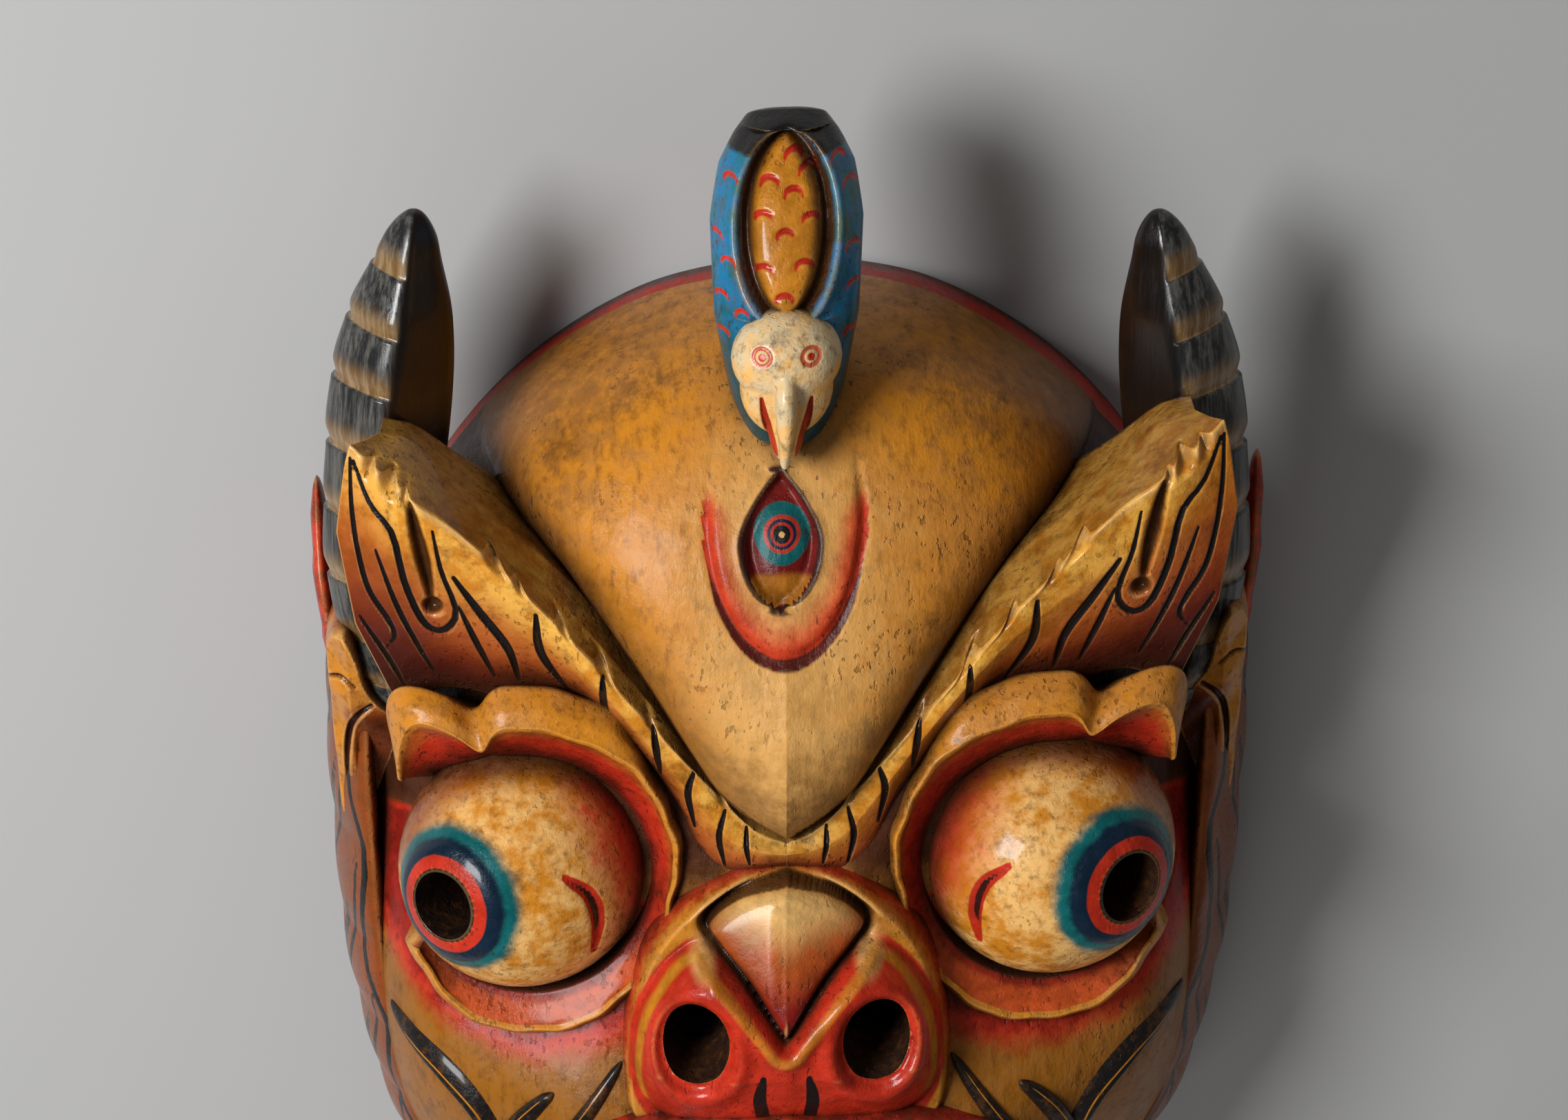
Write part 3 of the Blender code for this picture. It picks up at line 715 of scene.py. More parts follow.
lidWood = paintedWood("painted lid", "ochre", "gold", [
    ("section", 0.415, 0.38, "orange", 0.02), ("section", 0.36, 0.28, "vermilion", 0.04),
    ("lower", 0, 0.8, "redOrange", 0.1, 0.95), ("section", 0.22, 0.12, "crimson", 0.03, 0.8),
    ("section", 0.10, 0.055, "maroon", 0.01)], gloss=0.24, dirtAndShade=0.8, wearAndHighlight=0.3, coat=0.14)
lidLeft = bentGrid("lid_left", *eye["lidCells"], lidPlace)
useModifier(lidLeft, "SMOOTH", factor=0.5, iterations=5)
give(lidLeft, lidWood)
lidRight = mirrorCopy(lidLeft, "lid_right")
print("eyes and lids")


# The brows: flame wings with carved black strokes
brow = {
    "edge": [(0, -17.5, 121), (-9, -13.5, 121), (-19, -3.5, 121), (-43, 24.5, 121), (-63, 49, 121.5),
             (-80, 69, 122), (-101, 92, 123), (-122, 108, 122), (-138, 122, 114)],
    "foot": [(0, -27, 119), (-15, -30, 117.5), (-28, -30, 113), (-34, -12, 111), (-47, 7, 108),
             (-65, 21, 101), (-90, 27, 99), (-112, 31, 97), (-127, 22, 94)],
    "strokes": [([(-138, 118), (-138, 98), (-135, 73), (-129, 60), (-127, 53), (-130, 48)], 1.9),
                ([(-137, 117), (-132, 103), (-125, 93), (-122, 74), (-117, 59), (-111, 56),
                  (-106, 64), (-110, 81), (-112, 95)], 2.4),
                ([(-131, 87), (-126, 67), (-120, 50), (-115, 38)], 1.9),
                ([(-138, 60), (-130, 44), (-124, 30)], 1.7),
                ([(-106, 78), (-98, 64), (-90, 50), (-87, 36)], 3.2),
                ([(-105, 66), (-100, 51), (-95, 37)], 2.2),
                ([(-80, 65), (-79, 49), (-71, 33)], 3.0),
                ([(-59, 43), (-59, 33), (-58, 25)], 2.6),
                ([(-43, 25), (-42, 16), (-41, 7)], 2.4),
                ([(-30, 9), (-32, 1), (-30, -12)], 2.3),
                ([(-20, -5), (-22, -15), (-20, -27)], 2.0),
                ([(-13, -11), (-13, -18), (-12, -25)], 1.8)],
    # place along the edge, half width and depth of each worn chip
    "chips": [(0.95, 0.012, 1.0), (0.90, 0.016, 1.4), (0.865, 0.008, 0.7), (0.70, 0.014, 1.3),
              (0.655, 0.01, 0.8), (0.56, 0.012, 0.9), (0.47, 0.014, 1.1), (0.38, 0.01, 0.6),
              (0.26, 0.012, 0.5)],
    "notch": [(-119, 104), (-117, 92), (-115, 80), (-114, 68)], "pit": [(-113.6, 67), (-113.4, 65)],
    "cells": (130, 330),
}


def browPlace(u, v):
    crease, edge, foot = (smoothLine(line, 300) for line in (face["crease"], brow["edge"], brow["foot"]))
    back, front, low = (alongLine(line, v) for line in (crease, edge, foot))
    outer = v**6
    floor = 62 + 22 * ease(v, 0.6, 0.95)
    scallop = 0.5 * np.sin(v * 61) * ease(v, 0.1, 0.4)
    chip = sum(depth * peak(v - spot, size) for spot, size, depth in brow["chips"])
    edge = front + (back - front) * (0.22 * chip)[:, None] - np.outer(1.8 * chip, (0, 0, 1.0))
    belly = np.stack([-9.0 * outer, 0 * v, 0 * v], 1)
    up = np.array([0, 0, 1.0])
    inside = back * (1, 1, 0) + floor[:, None] * up
    under = low * (1, 1, 0) + (floor - 4)[:, None] * up
    stops = [back, (back + front) / 2 + 1.6 * up, edge + scallop[:, None] * up,
             front * 0.93 + low * 0.07 + belly * 0.3 + 0.4 * up,
             front * 0.7 + low * 0.3 + belly + 3.0 * up,
             front * 0.35 + low * 0.65 + belly + 2.0 * up, low, under * 0.3 + low * 0.7, under, inside]
    knots = np.array([0, 0.14, 0.25, 0.285, 0.42, 0.60, 0.76, 0.80, 0.86, 0.93, 1.0])
    points = alongStops(u, knots, np.stack(stops + [back], 1))
    x, y = points[:, 0], points[:, 1]
    faceSide = ease(u, 0.235, 0.26) * ease(-u, -0.80, -0.76)
    ink = strokeField(x, y, brow["strokes"])
    ink = np.where(faceSide > 0.5, ink, 9)
    notch = strokeField(x, y, [(brow["notch"], 4.6), (brow["pit"], 6.4)])
    notch = np.where(u < 0.78, notch, 9)
    points[:, 2] -= 1.1 * ease(-ink, -0.3, 0.9) + 4.5 * ease(-notch, -1.2, 2.2)
    # how far down the painted front a point lies, which paints it darker as shade towards the foot, and
    # how near the gilded edge, which paints a highlight along it
    down = np.clip((u - 0.25) / 0.51, 0, 1) + 0.22 * ease(v, 0.75, 1.0)
    return points, {"ink": ink, "down": np.where((u > 0.25) & (u < 0.9), down, 0), "notch": notch,
                    "topFace": np.where((u < 0.235) | (u > 0.9), 1.0, 0.0),
                    "rimGold": np.abs(u - 0.255) * 60}


# the front runs from orange into crimson and maroon towards its foot by the lid as painted shade, and
# cream along the gilded edge is a painted highlight
browWood = paintedWood("painted brow", "brightGold", "gold", [
    ("down", 0.15, 0.60, "orange", 0.14, 0.85), ("down", 0.45, 0.95, "crimson", 0.12, 0.8),
    ("down", 0.62, 1.1, "maroon", 0.12, 0.9), ("rimGold", 1.3, 0.1, "cream", 0.4, 0.7),
    ("topFace", 0.4, 0.6, "umber", 0, 0.55), ("notch", 0.5, -0.8, "umber", 0.3),
    ("ink", 0.25, -0.05, "black", 0.12)], gloss=0.24, dirtAndShade=0.75, wearAndHighlight=0.5, streak=(0.5, 0.5, 1.0))
browLeft = bentGrid("brow_left", *brow["cells"], browPlace)
give(browLeft, browWood)
browRight = mirrorCopy(browLeft, "brow_right")
print("brows")


# The nose: a folded root, a diamond bridge and two flaring wings, fused into one form
noseForm = {
    "arch": [(0, -22), (16, -25), (29, -31), (41, -42), (50, -57), (55, -76), (57, -95), (55, -116),
             (40, -128), (0, -131)],
    "front": [(0, -44), (12, -47), (24, -44), (36, -48), (46, -60), (52, -74), (54, -89), (53, -102),
              (47, -114), (34, -122), (0, -126)],
    "bridge": [(0, -27), (12, -30.5), (21, -36), (26, -42.5), (22, -49), (12, -60), (0, -77)],
    "inks": [([(7.5, -89), (8.7, -99), (7.5, -110), (5.5, -124)], 4.4)],
    "corner": (-62, -136), "farCorner": (62, -16), "floor": 88, "cells": (230, 210),
}


def noseHeight(x, y):
    side = np.abs(x)
    arch = -outlineField(side, y, noseForm["arch"])
    front = -outlineField(side, y, noseForm["front"])
    bridge = -outlineField(side, y, noseForm["bridge"])
    bore = (np.hypot((side - 29.7) / 11.2, (y + 79.5) / 14.7) - 1) * 12
    z = 102 + (30 - 0.10 * side) * ease(arch, -2.5, 6)
    lower = np.clip(-90 - y, 0, None)
    wing = 116 + (33.8 - 0.10 * side - 0.45 * lower) * (1 - np.exp(-np.clip(front, 0, None) / 6.0))
    ridge = peak(bridge + 5.5, 3.0) * ease(-y, 42, 52)
    wing = wing + 2.6 * ridge + 2.2 * peak(bore - 4.5, 3.6)
    wing = wing - 3.0 * peak(bore + 0.3, 2.2)
    wing = wing - 1.6 * peak(side, 9) * ease(-y, 84, 96)
    z = np.where(front > 0, np.maximum(z, wing), z)
    slit = ease(y, -46, -40)
    z = z - (4.6 + 4 * slit) * np.exp(-(np.minimum(bridge, 0) / (1.9 + 0.6 * slit)) ** 2)
    top = 137 + 0.33 * (-28 - y) - 0.36 * side - 1.2 * peak(side, 3.0)
    z = np.where(bridge > 0, top - (9 - 3 * slit) * np.exp(-bridge / 1.3), z)
    ink = strokeField(side, y, noseForm["inks"])
    return z, {"arch": arch, "front": np.where(bridge > -0.5, -9, front),
               "bridge": bridge, "bridgeRed": np.where(bridge > -1.5, -y + 0.25 * side, 0),
               "groove": np.abs(np.minimum(bridge, 0)) + 5 * ease(bridge, 0.2, 2.4), "ink": ink,
               "stripe": np.abs(front - 5.2) + 9 * ease(-side, -27, -24) + 9 * ease(-y, 104, 112),
               "corner": np.hypot(side - 27, (y + 50) * 0.8), "ridge": (1 - ridge) * 4}


# cream at the upper inner corner of each wing and gold along the wing ridge are painted highlights
noseWood = paintedWood("painted nose", "ochre", "gold", [
    ("arch", 4.6, 2.6, "vermilion", 1.6, 0.9), ("arch", 2.4, 1.0, "crimson", 1.0, 0.9),
    ("bridge", -0.4, 1.8, "cream", 0.6), ("bridgeRed", 36, 52, "orange", 6.0),
    ("bridgeRed", 50, 68, "crimson", 4.0),
    ("front", 0.8, 2.2, "vermilion", 0.8), ("stripe", 1.6, 0.5, "gold", 0.7),
    ("corner", 6.5, 2.0, "cream", 1.5, 0.8), ("ridge", 2.0, 0.3, "gold", 0.4, 0.7),
    ("groove", 1.5, 0.5, "grimeAndShade", 0.3, 0.85), ("ink", 0.3, -0.1, "black", 0.3)],
    gloss=0.22, dirtAndShade=0.85, wearAndHighlight=0.45)
nose = heightPatch("nose", *noseForm["cells"], noseForm["corner"], noseForm["farCorner"],
                   noseForm["floor"], noseHeight)
useModifier(nose, "SMOOTH", factor=0.5, iterations=2)
give(nose, noseWood)
nose.data.materials.append(boreShadeWood)
cutWith(nose, sightTools)
print("nose", len(nose.data.vertices))


# The mouth: drawn lips, teeth, fangs and tongue
def ringPlace(line, wide, deep):
    # place function of an oval tube that runs round a closed line
    line = smoothLine(line, 400)[:-1]
    side, rise = framesOf(np.roll(line, -1, 0) - np.roll(line, 1, 0), (0, 0, 1))
    line, side, rise = (np.vstack([form, form[:1]]) for form in (line, side, rise))

    def place(u, v):
        turn = 2 * math.pi * u
        centre, a, b = (alongLine(form, v) for form in (line, side, rise))
        return centre + a * (wide * np.cos(turn))[:, None] + b * (deep * np.sin(turn))[:, None], {}
    return place


mouth = {"lips": [(0, -116, 136), (38, -119, 128), (74, -132, 112), (84, -150, 100), (68, -170, 104),
                  (34, -181, 116), (0, -184, 120), (-34, -181, 116), (-68, -170, 104), (-84, -150, 100),
                  (-74, -132, 112), (-38, -119, 128), (0, -116, 136)],
         "lipHalf": (8.5, 10), "teeth": 8, "pitch": 13.5, "upperTooth": (6.5, 9, 7),
         "lowerTooth": (6.5, 8, 7),
         "gum": [(-70, -150, 91.4), (-36, -150, 97.5), (0, -150, 104), (36, -150, 97.5),
                 (70, -150, 91.4)],
         "tongue": [(0, -146, 108), (0, -158, 124), (0, -172, 128), (0, -184, 124)],
         "lipCells": (28, 180), "cells": (24, 40), "fangCells": (20, 28)}
redWood = paintedWood("red lip paint", "vermilion", "crimson", gloss=0.2, dirtAndShade=0.8, wearAndHighlight=0.3)
toothWood = paintedWood("tooth paint", "ivory", "bone", gloss=0.22, dirtAndShade=0.85, wearAndHighlight=0.1)
darkWood = paintedWood("dark mouth paint", "crimson", "maroon", gloss=0.3, dirtAndShade=0.8, wearAndHighlight=0.0)
lips = bentGrid("lips", *mouth["lipCells"], ringPlace(mouth["lips"], *mouth["lipHalf"]), closed=False)
give(lips, redWood)
throat = fromRings("throat", *mouth["cells"], mouth["gum"], shares(30, 30), shares(14, 14))
give(throat, darkWood)
teeth = []
for k in range(mouth["teeth"]):
    x = (k - (mouth["teeth"] - 1) / 2) * mouth["pitch"]
    z = 124 - abs(x) * 0.2
    teeth += [addBall("teeth", (x, -130, z), mouth["upperTooth"]),
              addBall("teeth", (x, -169, z - 6), mouth["lowerTooth"])]
for x, y, drop in ((-63, -133, -24), (-56, -170, 24)):
    for sign in (-1, 1):
        fang = [(-x * sign, y, 112), (-x * sign * 1.03, y + drop * 0.5, 119),
                (-x * sign * 1.08, y + drop, 116)]
        teeth.append(fromRings("fang", *mouth["fangCells"], fang, shares(8, 1.2), shares(8, 1.2)))
teeth = joinPieces(teeth, "teeth")
give(teeth, toothWood)
pick(teeth)
bpy.ops.object.shade_smooth()
tongue = fromRings("tongue", *mouth["cells"], mouth["tongue"],
                   shares(18, 19, 20, 20, 20, 19, 18, 17, 15, 12, 9, 5), shares(6, 6))
give(tongue, redWood)
print("mouth")


# Leaves of the moustache in black, and the beard's curls
leafWood = paintedWood("black leaf paint", "black", "black", [("gilt", 0.55, 0.25, "gold", 0.1)],
                       gloss=0.3, dirtAndShade=0.3, wearAndHighlight=0.05)
beardWood = paintedWood("beard paint", "orange", "gold", [("share", 0.45, 0.9, "crimson", 0.1)],
                        gloss=0.26, dirtAndShade=0.8, wearAndHighlight=0.4)
leaf = {
    # each leaf's line and half width
    "lines": [([(-137, -98), (-127, -102), (-115, -109), (-103, -121), (-98, -136), (-97, -156)], 5.6),
              ([(-78, -109), (-84, -115), (-91, -125), (-97, -140), (-99, -158)], 3.9),
              ([(-55, -97), (-62, -108), (-70, -120), (-78, -134), (-84, -156)], 3.2)],
    "thick": 2.1, "cells": (24, 90)}
beard = {"places": (-84, -56, -28, 0, 28, 56, 84), "reach": -213, "half": 13, "thick": 9,
         "cells": (24, 36)}


def leafPiece(name, points, half):
    flat = smoothLine(points, 200)
    line = np.column_stack([flat, surfaceAt(flat[:, 0], flat[:, 1]) - 0.2])

    def giltEdge(u, v):
        return {"gilt": np.abs(u - 0.33) * 30 + 1.5 * ease(v, 0.75, 1.0) + 2 * ease(-v, -0.2, 0)}
    place = tubePlace(line, lambda v: half * (np.sin(0.25 + 2.2 * v) ** 0.8),
                      shares(leaf["thick"], leaf["thick"]), marks=giltEdge, ends=0.12)
    return bentGrid(name, *leaf["cells"], place)


ornaments = []
for k, (points, half) in enumerate(leaf["lines"]):
    piece = leafPiece(f"leaf_{k}_left", points, half)
    give(piece, leafWood)
    ornaments += [piece, mirrorCopy(piece, f"leaf_{k}_right")]
for k, x in enumerate(beard["places"]):
    reach = beard["reach"] + abs(x) ** 2 * 0.0042
    curl = [(x * 0.9, reach + 30, 104 - abs(x) * 0.22), (x * 0.98, reach + 14, 99 - abs(x) * 0.25),
            (x * 1.04, reach + 2, 70 - abs(x) * 0.2)]
    piece = fromRings(f"beard_curl_{k}", *beard["cells"], curl,
                      lambda v: beard["half"] * np.sin(0.9 + 2.0 * v),
                      shares(beard["thick"], beard["thick"]))
    give(piece, beardWood)
    ornaments.append(piece)
print("leaves and beard")


# The temples: a notched block, the band of carved flames down each side and the red ear
temple = {
    "block": [(-157, 36), (-153, 43), (-145, 43), (-141, 32), (-139, 20), (-134, 12), (-128, 8),
              (-130, -6), (-136, -22), (-143, -38), (-150, -48), (-156, -40), (-157, -4), (-157, 36)],
    "cracks": [([(-140, 12), (-145, 8), (-149, -2), (-151, -24)], 2.0),
               ([(-157, 22), (-150, 24), (-145, 20)], 1.0)],
    "band": [(-149, 28, 36), (-151, -10, 36), (-150, -50, 36), (-148, -90, 36), (-143, -124, 34),
             (-136, -154, 32), (-122, -184, 30)],
    "ear": [(-147, -4, 26), (-154, 20, 25), (-158.7, 48, 24), (-160.6, 79, 20)],
    "bandUpright": (0.34, 0, 0.94), "bandLength": 232, "bandHalf": 24, "bandCells": (60, 320),
    "corner": (-160, -52), "farCorner": (-124, 46), "blockFoot": 12, "blockCells": (60, 120),
    "earCells": (36, 70),
}


def blockHeight(x, y):
    inside = -outlineField(x, y, temple["block"])
    crack = strokeField(x, y, temple["cracks"])
    z = 76 + 0.34 * (y - 40) - 0.9 * np.clip(-x - 147, 0, None) + 1.0 * np.sin(x * 0.35 + y * 0.23)
    z = z - 3.4 * ease(-crack, -0.8, 1.2) - 4 * ease(-y, -12, 2) * ease(x, -150, -143)
    z = temple["blockFoot"] + (z - temple["blockFoot"]) * ease(inside, -0.8, 3.2) ** 0.7
    inner = np.minimum(12 - y, (x + 149) * 1.2)
    return z, {"inner": inner, "crack": crack, "inside": inside}


blockWood = paintedWood("gilded block", "gold", "ochre", [
    ("inside", 3.4, 0.6, "orange", 1.5, 0.7), ("inner", -2.0, 2.0, "crimson", 2.0, 0.7),
    ("inner", 3.0, 9.0, "maroon", 4.0, 0.7), ("crack", 0.6, -0.3, "maroon", 0.4)],
    gloss=0.2, dirtAndShade=0.85, wearAndHighlight=0.5)
flameWood = paintedWood("side flames", "sienna", "umber", [
    ("turn", 0.10, 0.22, "orange", 0.05, 0.35), ("ink", 0.4, 0.0, "black", 0.2)],
    gloss=0.26, dirtAndShade=0.75, wearAndHighlight=0.4)
earWood = paintedWood("red ear", "vermilion", "crimson", [("ink", 0.35, 0.0, "black", 0.15)],
                      gloss=0.3, dirtAndShade=0.6, wearAndHighlight=0.3)


def flameMarks(u, v):
    # long looping lines that run down the band, in mm along it and across it
    along, across = v * temple["bandLength"], np.sin(2 * math.pi * u) * 20
    lines = [([(10 * k, 15 + 2.5 * math.sin(k)) for k in range(24)], 2.2)]
    for k in range(5):
        start = k * 50 - 20
        loops = [([(0, 13), (18, 9), (42, -2), (60, -13), (56, -19), (44, -15), (28, -5), (16, 2)], 2.6),
                 ([(20, 2), (34, -5), (46, -11)], 1.7), ([(6, -18), (22, -12), (32, -17)], 2.0)]
        lines += [([(start + x, y) for x, y in points], width) for points, width in loops]
    return {"ink": strokeField(along, across, lines)}


def earMarks(u, v):
    # short strokes, in mm along the ear and across it
    lines = [([(20 + 9 * k, -7), (30 + 9 * k, -3), (37 + 9 * k, 3)], 1.3) for k in range(5)]
    return {"ink": strokeField(v * 90, np.sin(2 * math.pi * u) * 12, lines)}


sides = [heightPatch("temple_block_left", *temple["blockCells"], temple["corner"],
                     temple["farCorner"], temple["blockFoot"], blockHeight),
         fromRings("side_flames_left", *temple["bandCells"], temple["band"],
                   lambda v: 5.0 + 1.5 * np.abs(np.sin(v * 6.5 * math.pi)),
                   shares(temple["bandHalf"], temple["bandHalf"]), marks=flameMarks,
                   upright=temple["bandUpright"], ends=0.02),
         fromRings("ear_left", *temple["earCells"], temple["ear"],
                   shares(4, 5, 5, 5, 5, 5, 5, 4, 4, 4, 4, 3, 3, 3, 2, 1),
                   lambda v: 16 * np.sin(0.9 + 2.1 * v) + 1, marks=earMarks)]
for piece, material in zip(sides, (blockWood, flameWood, earWood)):
    give(piece, material)
sides += [mirrorCopy(piece, piece.name.replace("left", "right")) for piece in list(sides)]
print("temples")


# The bird that dives down the crown
bird = {
    "spine": [(0, 120, 86), (0, 140, 92), (0, 164, 94), (0, 190, 87), (0, 206, 80), (0, 217.4, 75)],
    # half width and half depth at shares of the body's length
    "wide": ([0, 0.12, 0.34, 0.56, 0.74, 0.88, 0.95, 1], [14, 18.5, 23, 24.3, 21.5, 16.5, 13.5, 11]),
    "deep": ([0, 0.3, 0.6, 0.8, 0.94, 1], [24, 21, 18.5, 15, 9, 6]),
    "backMarks": [(2.2, 208), (-5.2, 200.4), (6.7, 203.5), (2.2, 197.3), (-7.2, 190.3), (7.5, 189.5),
                  (-0.3, 185), (-6.9, 174.5), (5.5, 175.9), (-0.7, 165.8)],
    "wingMarks": [(-17.5, 200.5), (-22.3, 183.2), (-18.2, 176.3), (-20.5, 165.1), (-13.9, 160.6),
                  (-20.2, 153), (19.8, 198.1), (20.7, 179.4), (21.2, 167.3), (20.0, 152), (15.9, 206)],
    "backSize": 2.9, "wingSize": 2.2, "cells": (130, 220),
}


def crescents(places, size):
    return [([(x - size, y - size * 0.55), (x - size * 0.7, y + size * 0.15), (x, y + size * 0.45),
              (x + size * 0.7, y + size * 0.15), (x + size, y - size * 0.55)], size * 0.62)
            for x, y in places]


def birdBody(u, v):
    place = tubePlace(smoothLine(bird["spine"], 300), lambda t: np.interp(t, *bird["wide"]),
                      lambda t: np.interp(t, *bird["deep"]), ends=0.035)
    points, _ = place(u, v)
    x, y, z = points.T
    top = ease(np.sin(2 * math.pi * u), 0.15, 0.45)
    dy = y - 186.5
    half = 15.0 * np.sqrt(np.clip(1 - (dy / np.where(dy > 0, 27.5, 29.0)) ** 2, 0, 1))
    oval = np.where(np.abs(dy) < 27.4, np.abs(x) - half, np.abs(dy) - 27.4 + 0.3 * np.abs(x))
    red = np.minimum(strokeField(x, y, crescents(bird["backMarks"], bird["backSize"])),
                     strokeField(x, y, crescents(bird["wingMarks"], bird["wingSize"])))
    red = np.where(top > 0.2, red, 9)
    rise = 2.4 * peak(oval - 2.2, 2.6) - 6.2 * peak(oval + 2.6, 2.3)
    rise = rise - 1.0 * ease(-red, -0.2, 0.7)
    z = z + top * rise
    return np.stack([x, y, z], 1), {
        "oval": np.where(top > 0.2, oval, 9), "crescent": red, "low": v * 97,
        "tail": np.where(oval > 0.4, y - 207.5 - 0.1 * np.abs(x), -9)}


def birdHead():
    # skull, brow ridge and hooked beak fused and softened
    parts = [addBall("bird_head", (0, 147, 112), (17.5, 15.5, 15)),
             addBall("muzzle", (0, 137, 111), (14.8, 16.5, 13)),
             fromRings("beak", 24, 40, [(0, 146, 121), (0, 137, 125.5), (0, 124, 125), (-0.6, 113, 121)],
                       shares(3.0, 3.4, 3.6, 3.0, 2.2, 1.4), shares(4, 4.5, 5, 5, 4, 3)),
             addBall("beak root", (0, 126, 116), (6, 13, 8))]
    head = joinPieces(parts, "bird_head")
    useModifier(head, "REMESH", mode="VOXEL", voxel_size=0.0007)
    useModifier(head, "SMOOTH", factor=0.5, iterations=5)
    points = pointsOf(head)
    x, y, z = points.T
    mouthLine = strokeField(np.abs(x), y, [([(7.8, 136), (6.6, 129), (4.4, 121), (3.0, 116)], 2.6)])
    mouthLine = np.where(z > 108, mouthLine, 9)
    ring = np.hypot(np.abs(x) - 7.6, y - 150.5)
    ring = np.where(z > 112, ring, 9)
    points[:, 2] -= 1.5 * ease(-mouthLine, -0.4, 0.9) + 0.6 * peak(ring - 2.5, 0.6)
    putPoints(head, points)
    setAttribute(head, "mouth", mouthLine)
    setAttribute(head, "eyeRing", ring)
    bpy.ops.object.shade_smooth()
    return head


birdWood = paintedWood("bird paint", "blue", "teal", [
    ("low", 48, 12, "deepTeal", 8.0, 0.9), ("oval", 0.6, -0.8, "umber", 0.4),
    ("oval", -3.2, -4.8, "gold", 0.6), ("tail", -2.4, -0.8, "black", 0.8),
    ("crescent", 0.3, -0.2, "vermilion", 0.3)],
    gloss=0.24, dirtAndShade=0.7, wearAndHighlight=0.16)
headWood = paintedWood("cream head paint", "bone", "cream", [
    ("mouth", 0.3, -0.2, "vermilion", 0.2), ("eyeRing", 3.6, 3.2, "pink", 0.2),
    ("eyeRing", 2.2, 1.9, "ivory", 0.1), ("eyeRing", 1.4, 1.1, "vermilion", 0.1)],
    gloss=0.3, dirtAndShade=0.9, wearAndHighlight=0.35)
body = bentGrid("bird_body", *bird["cells"], birdBody)
give(body, birdWood)
head = birdHead()
give(head, headWood)
print("bird")


# The horns: stepped rings outside, a polished face inside
horn = {"halfWidth": [(0, 0.15), (0.15, 0.26), (0.3, 0.38), (0.45, 0.47), (0.65, 0.50), (0.8, 0.42),
                      (0.92, 0.25), (1, 0.15)],
        "width": 40.0, "depth": 34.0, "rings": 9, "cells": (90, 280),
        "spine": [(-131, 2, 54), (-135, 24, 59), (-137, 54, 61), (-133, 88, 62), (-129, 122, 62),
                  (-124, 152, 64), (-119, 182, 68)]}


def hornPlace(u, v):
    spine = smoothLine(horn["spine"], 300)
    side, rise = framesOf(np.gradient(spine, axis=0), (0, 0, 1))
    centre, a, b = (alongLine(form, v) for form in (spine, -side, rise))
    taper = smoothLine(horn["halfWidth"], 200)
    tip = np.sqrt(np.clip(1 - ((v - 0.94) / 0.06).clip(0, 1) ** 2, 0, 1))
    half = np.interp(v, taper[:, 0], taper[:, 1]) * tip
    turn = 2 * math.pi * u
    side, high = np.cos(turn), np.sin(turn)
    step = v * horn["rings"] % 1
    ringed = ease(-side, -0.15, 0.1)
    notch = ease(step, 0, 0.30) - 0.25 * ease(step, 0.3, 1.0)
    grow = 1 + 0.10 * (notch - 0.6) * ringed * ease(-v, -0.97, -0.9)
    keel = 1 + 0.16 * np.clip(high, 0, 1) ** 6
    pinch = 1 - 0.34 * np.clip(high, 0, 1) ** 1.6 * np.where(side > 0, 1.25, 0.8)
    points = centre + a * (side * half * horn["width"] * grow * pinch)[:, None]
    points = points + b * (high * keel * half * horn["depth"] * grow)[:, None]
    return points, {"step": step, "ringed": ringed}


def hornMaterial():
    material, tree, shader = newMaterial("polished horn")
    where = addNode(tree, "ShaderNodeTexCoord").outputs["Object"]
    fibre = noise(tree, stretched(tree, where, (420, 26, 420)), 1.0, 5.0, 0.7)
    cloud = noise(tree, where, 30.0, 4.0)
    step, ringed = attributeOf(tree, "step"), attributeOf(tree, "ringed")
    dark = mixColour(tree, spread(tree, cloud, 0.40, 0.7), (0.005, 0.0045, 0.0045), (0.016, 0.007, 0.003))
    grey = mixColour(tree, spread(tree, fibre, 0.40, 0.66), (0.016, 0.017, 0.018), (0.10, 0.095, 0.085))
    tan = mixColour(tree, spread(tree, fibre, 0.40, 0.66), (0.16, 0.085, 0.03), (0.30, 0.20, 0.10))
    edge = spread(tree, plus(tree, step, times(tree, fibre, 0.30)), 0.66, 0.30)
    outside = mixColour(tree, edge, grey, tan)
    tree.links.new(mixColour(tree, ringed, dark, outside), shader.inputs["Base Color"])
    tree.links.new(spread(tree, fibre, 0.3, 0.8, 0.16, 0.34), shader.inputs["Roughness"])
    relief = addNode(tree, "ShaderNodeBump", {"Strength": 0.35, "Distance": 0.0006, "Height": fibre})
    tree.links.new(relief.outputs[0], shader.inputs["Normal"])
    setShader(shader, specular=0.35, coat=0.2, coatRough=0.12)
    return material


hornLeft = bentGrid("horn_left_piece", *horn["cells"], hornPlace)
give(hornLeft, hornMaterial())
hornRight = mirrorCopy(hornLeft, "horn_right_piece")
print("horns")


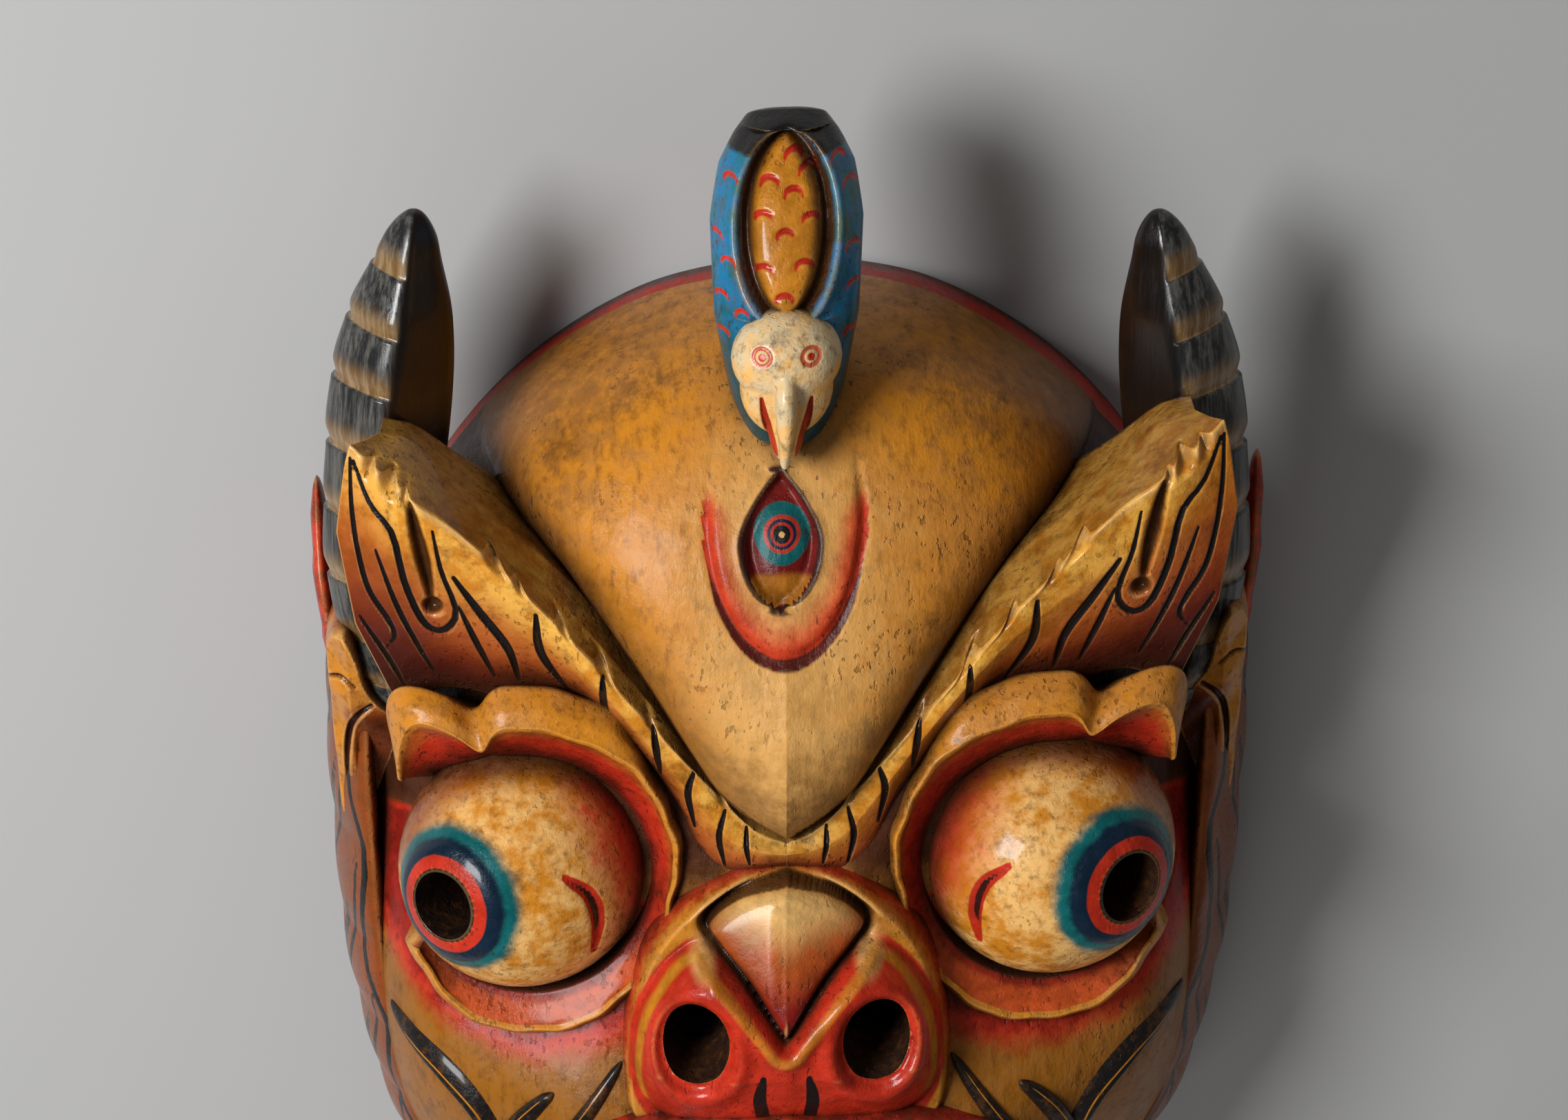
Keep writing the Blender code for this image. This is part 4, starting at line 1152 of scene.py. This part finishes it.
# What is set on the face is trimmed to the hollow, and every piece rides on the one body
onFace = [lidLeft, lidRight, browLeft, browRight, nose, lips, throat, teeth, tongue] + ornaments + sides
for piece in onFace:
    cutWith(piece, [trimTool])
for tool in [hollowTool, trimTool] + sightTools:
    bpy.data.objects.remove(tool)
for piece in [shell, ballLeft, ballRight] + onFace + [body, head]:
    leanOver(piece)
    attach(piece, "root")
for piece, node in ((hornLeft, "horn_left"), (hornRight, "horn_right")):
    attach(piece, "root")
    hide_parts(node)
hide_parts("mask")

# Studio: pale floor, soft key from the upper left, camera at the photograph's angle
studio = {"target": (-0.0008, 0.0775, 0.110), "distance": 1.255, "tilt": math.radians(21),
          "lens": 90.0, "nearest": 0.05, "floor": (0.42, 0.42, 0.42), "floorSize": 8,
          "floorDrop": 0.0004, "air": (1.0, 0.95, 0.9), "airStrength": 0.09,
          # name, place, size, power, and whether the varnish mirrors it
          "lamps": [("key", (-0.92, 0.44, 1.20), 0.55, 25, True),
                    ("fill", (1.0, 0.5, 1.2), 1.2, 1.7, False),
                    ("low", (-0.5, -1.1, 0.8), 0.9, 5, False)]}


def setStudio():
    clearSelection()
    bpy.ops.mesh.primitive_plane_add(size=studio["floorSize"], location=(0, 0, -studio["floorDrop"]))
    floor = bpy.context.object
    floor.name = "studio_floor"
    material, _, shader = newMaterial("pale floor")
    setShader(shader, base=(*studio["floor"], 1), rough=0.9)
    give(floor, material)
    world = bpy.data.worlds.new("studio")
    bpy.context.scene.world = world
    world.use_nodes = True
    air = world.node_tree.nodes["Background"]
    air.inputs["Color"].default_value = (*studio["air"], 1)
    air.inputs["Strength"].default_value = studio["airStrength"]
    target = Vector(studio["target"])
    for name, spot, size, power, mirrored in studio["lamps"]:
        light = bpy.data.lights.new(name, "AREA")
        light.size = size
        light.energy = power
        lamp = bpy.data.objects.new(name, light)
        lamp.location = spot
        lamp.visible_glossy = mirrored
        lamp.rotation_euler = turnTo(Vector(spot) - target)
        bpy.context.scene.collection.objects.link(lamp)
    camera = bpy.data.objects.new("camera", bpy.data.cameras.new("camera"))
    camera.data.lens = studio["lens"]
    camera.data.clip_start = studio["nearest"]
    tilt = studio["tilt"]
    camera.location = target + studio["distance"] * Vector((0, math.sin(tilt), math.cos(tilt)))
    camera.rotation_euler = (-tilt, 0, 0)
    bpy.context.scene.collection.objects.link(camera)
    bpy.context.scene.camera = camera
    bpy.context.scene.view_settings.view_transform = "Standard"


setStudio()
print("studio")
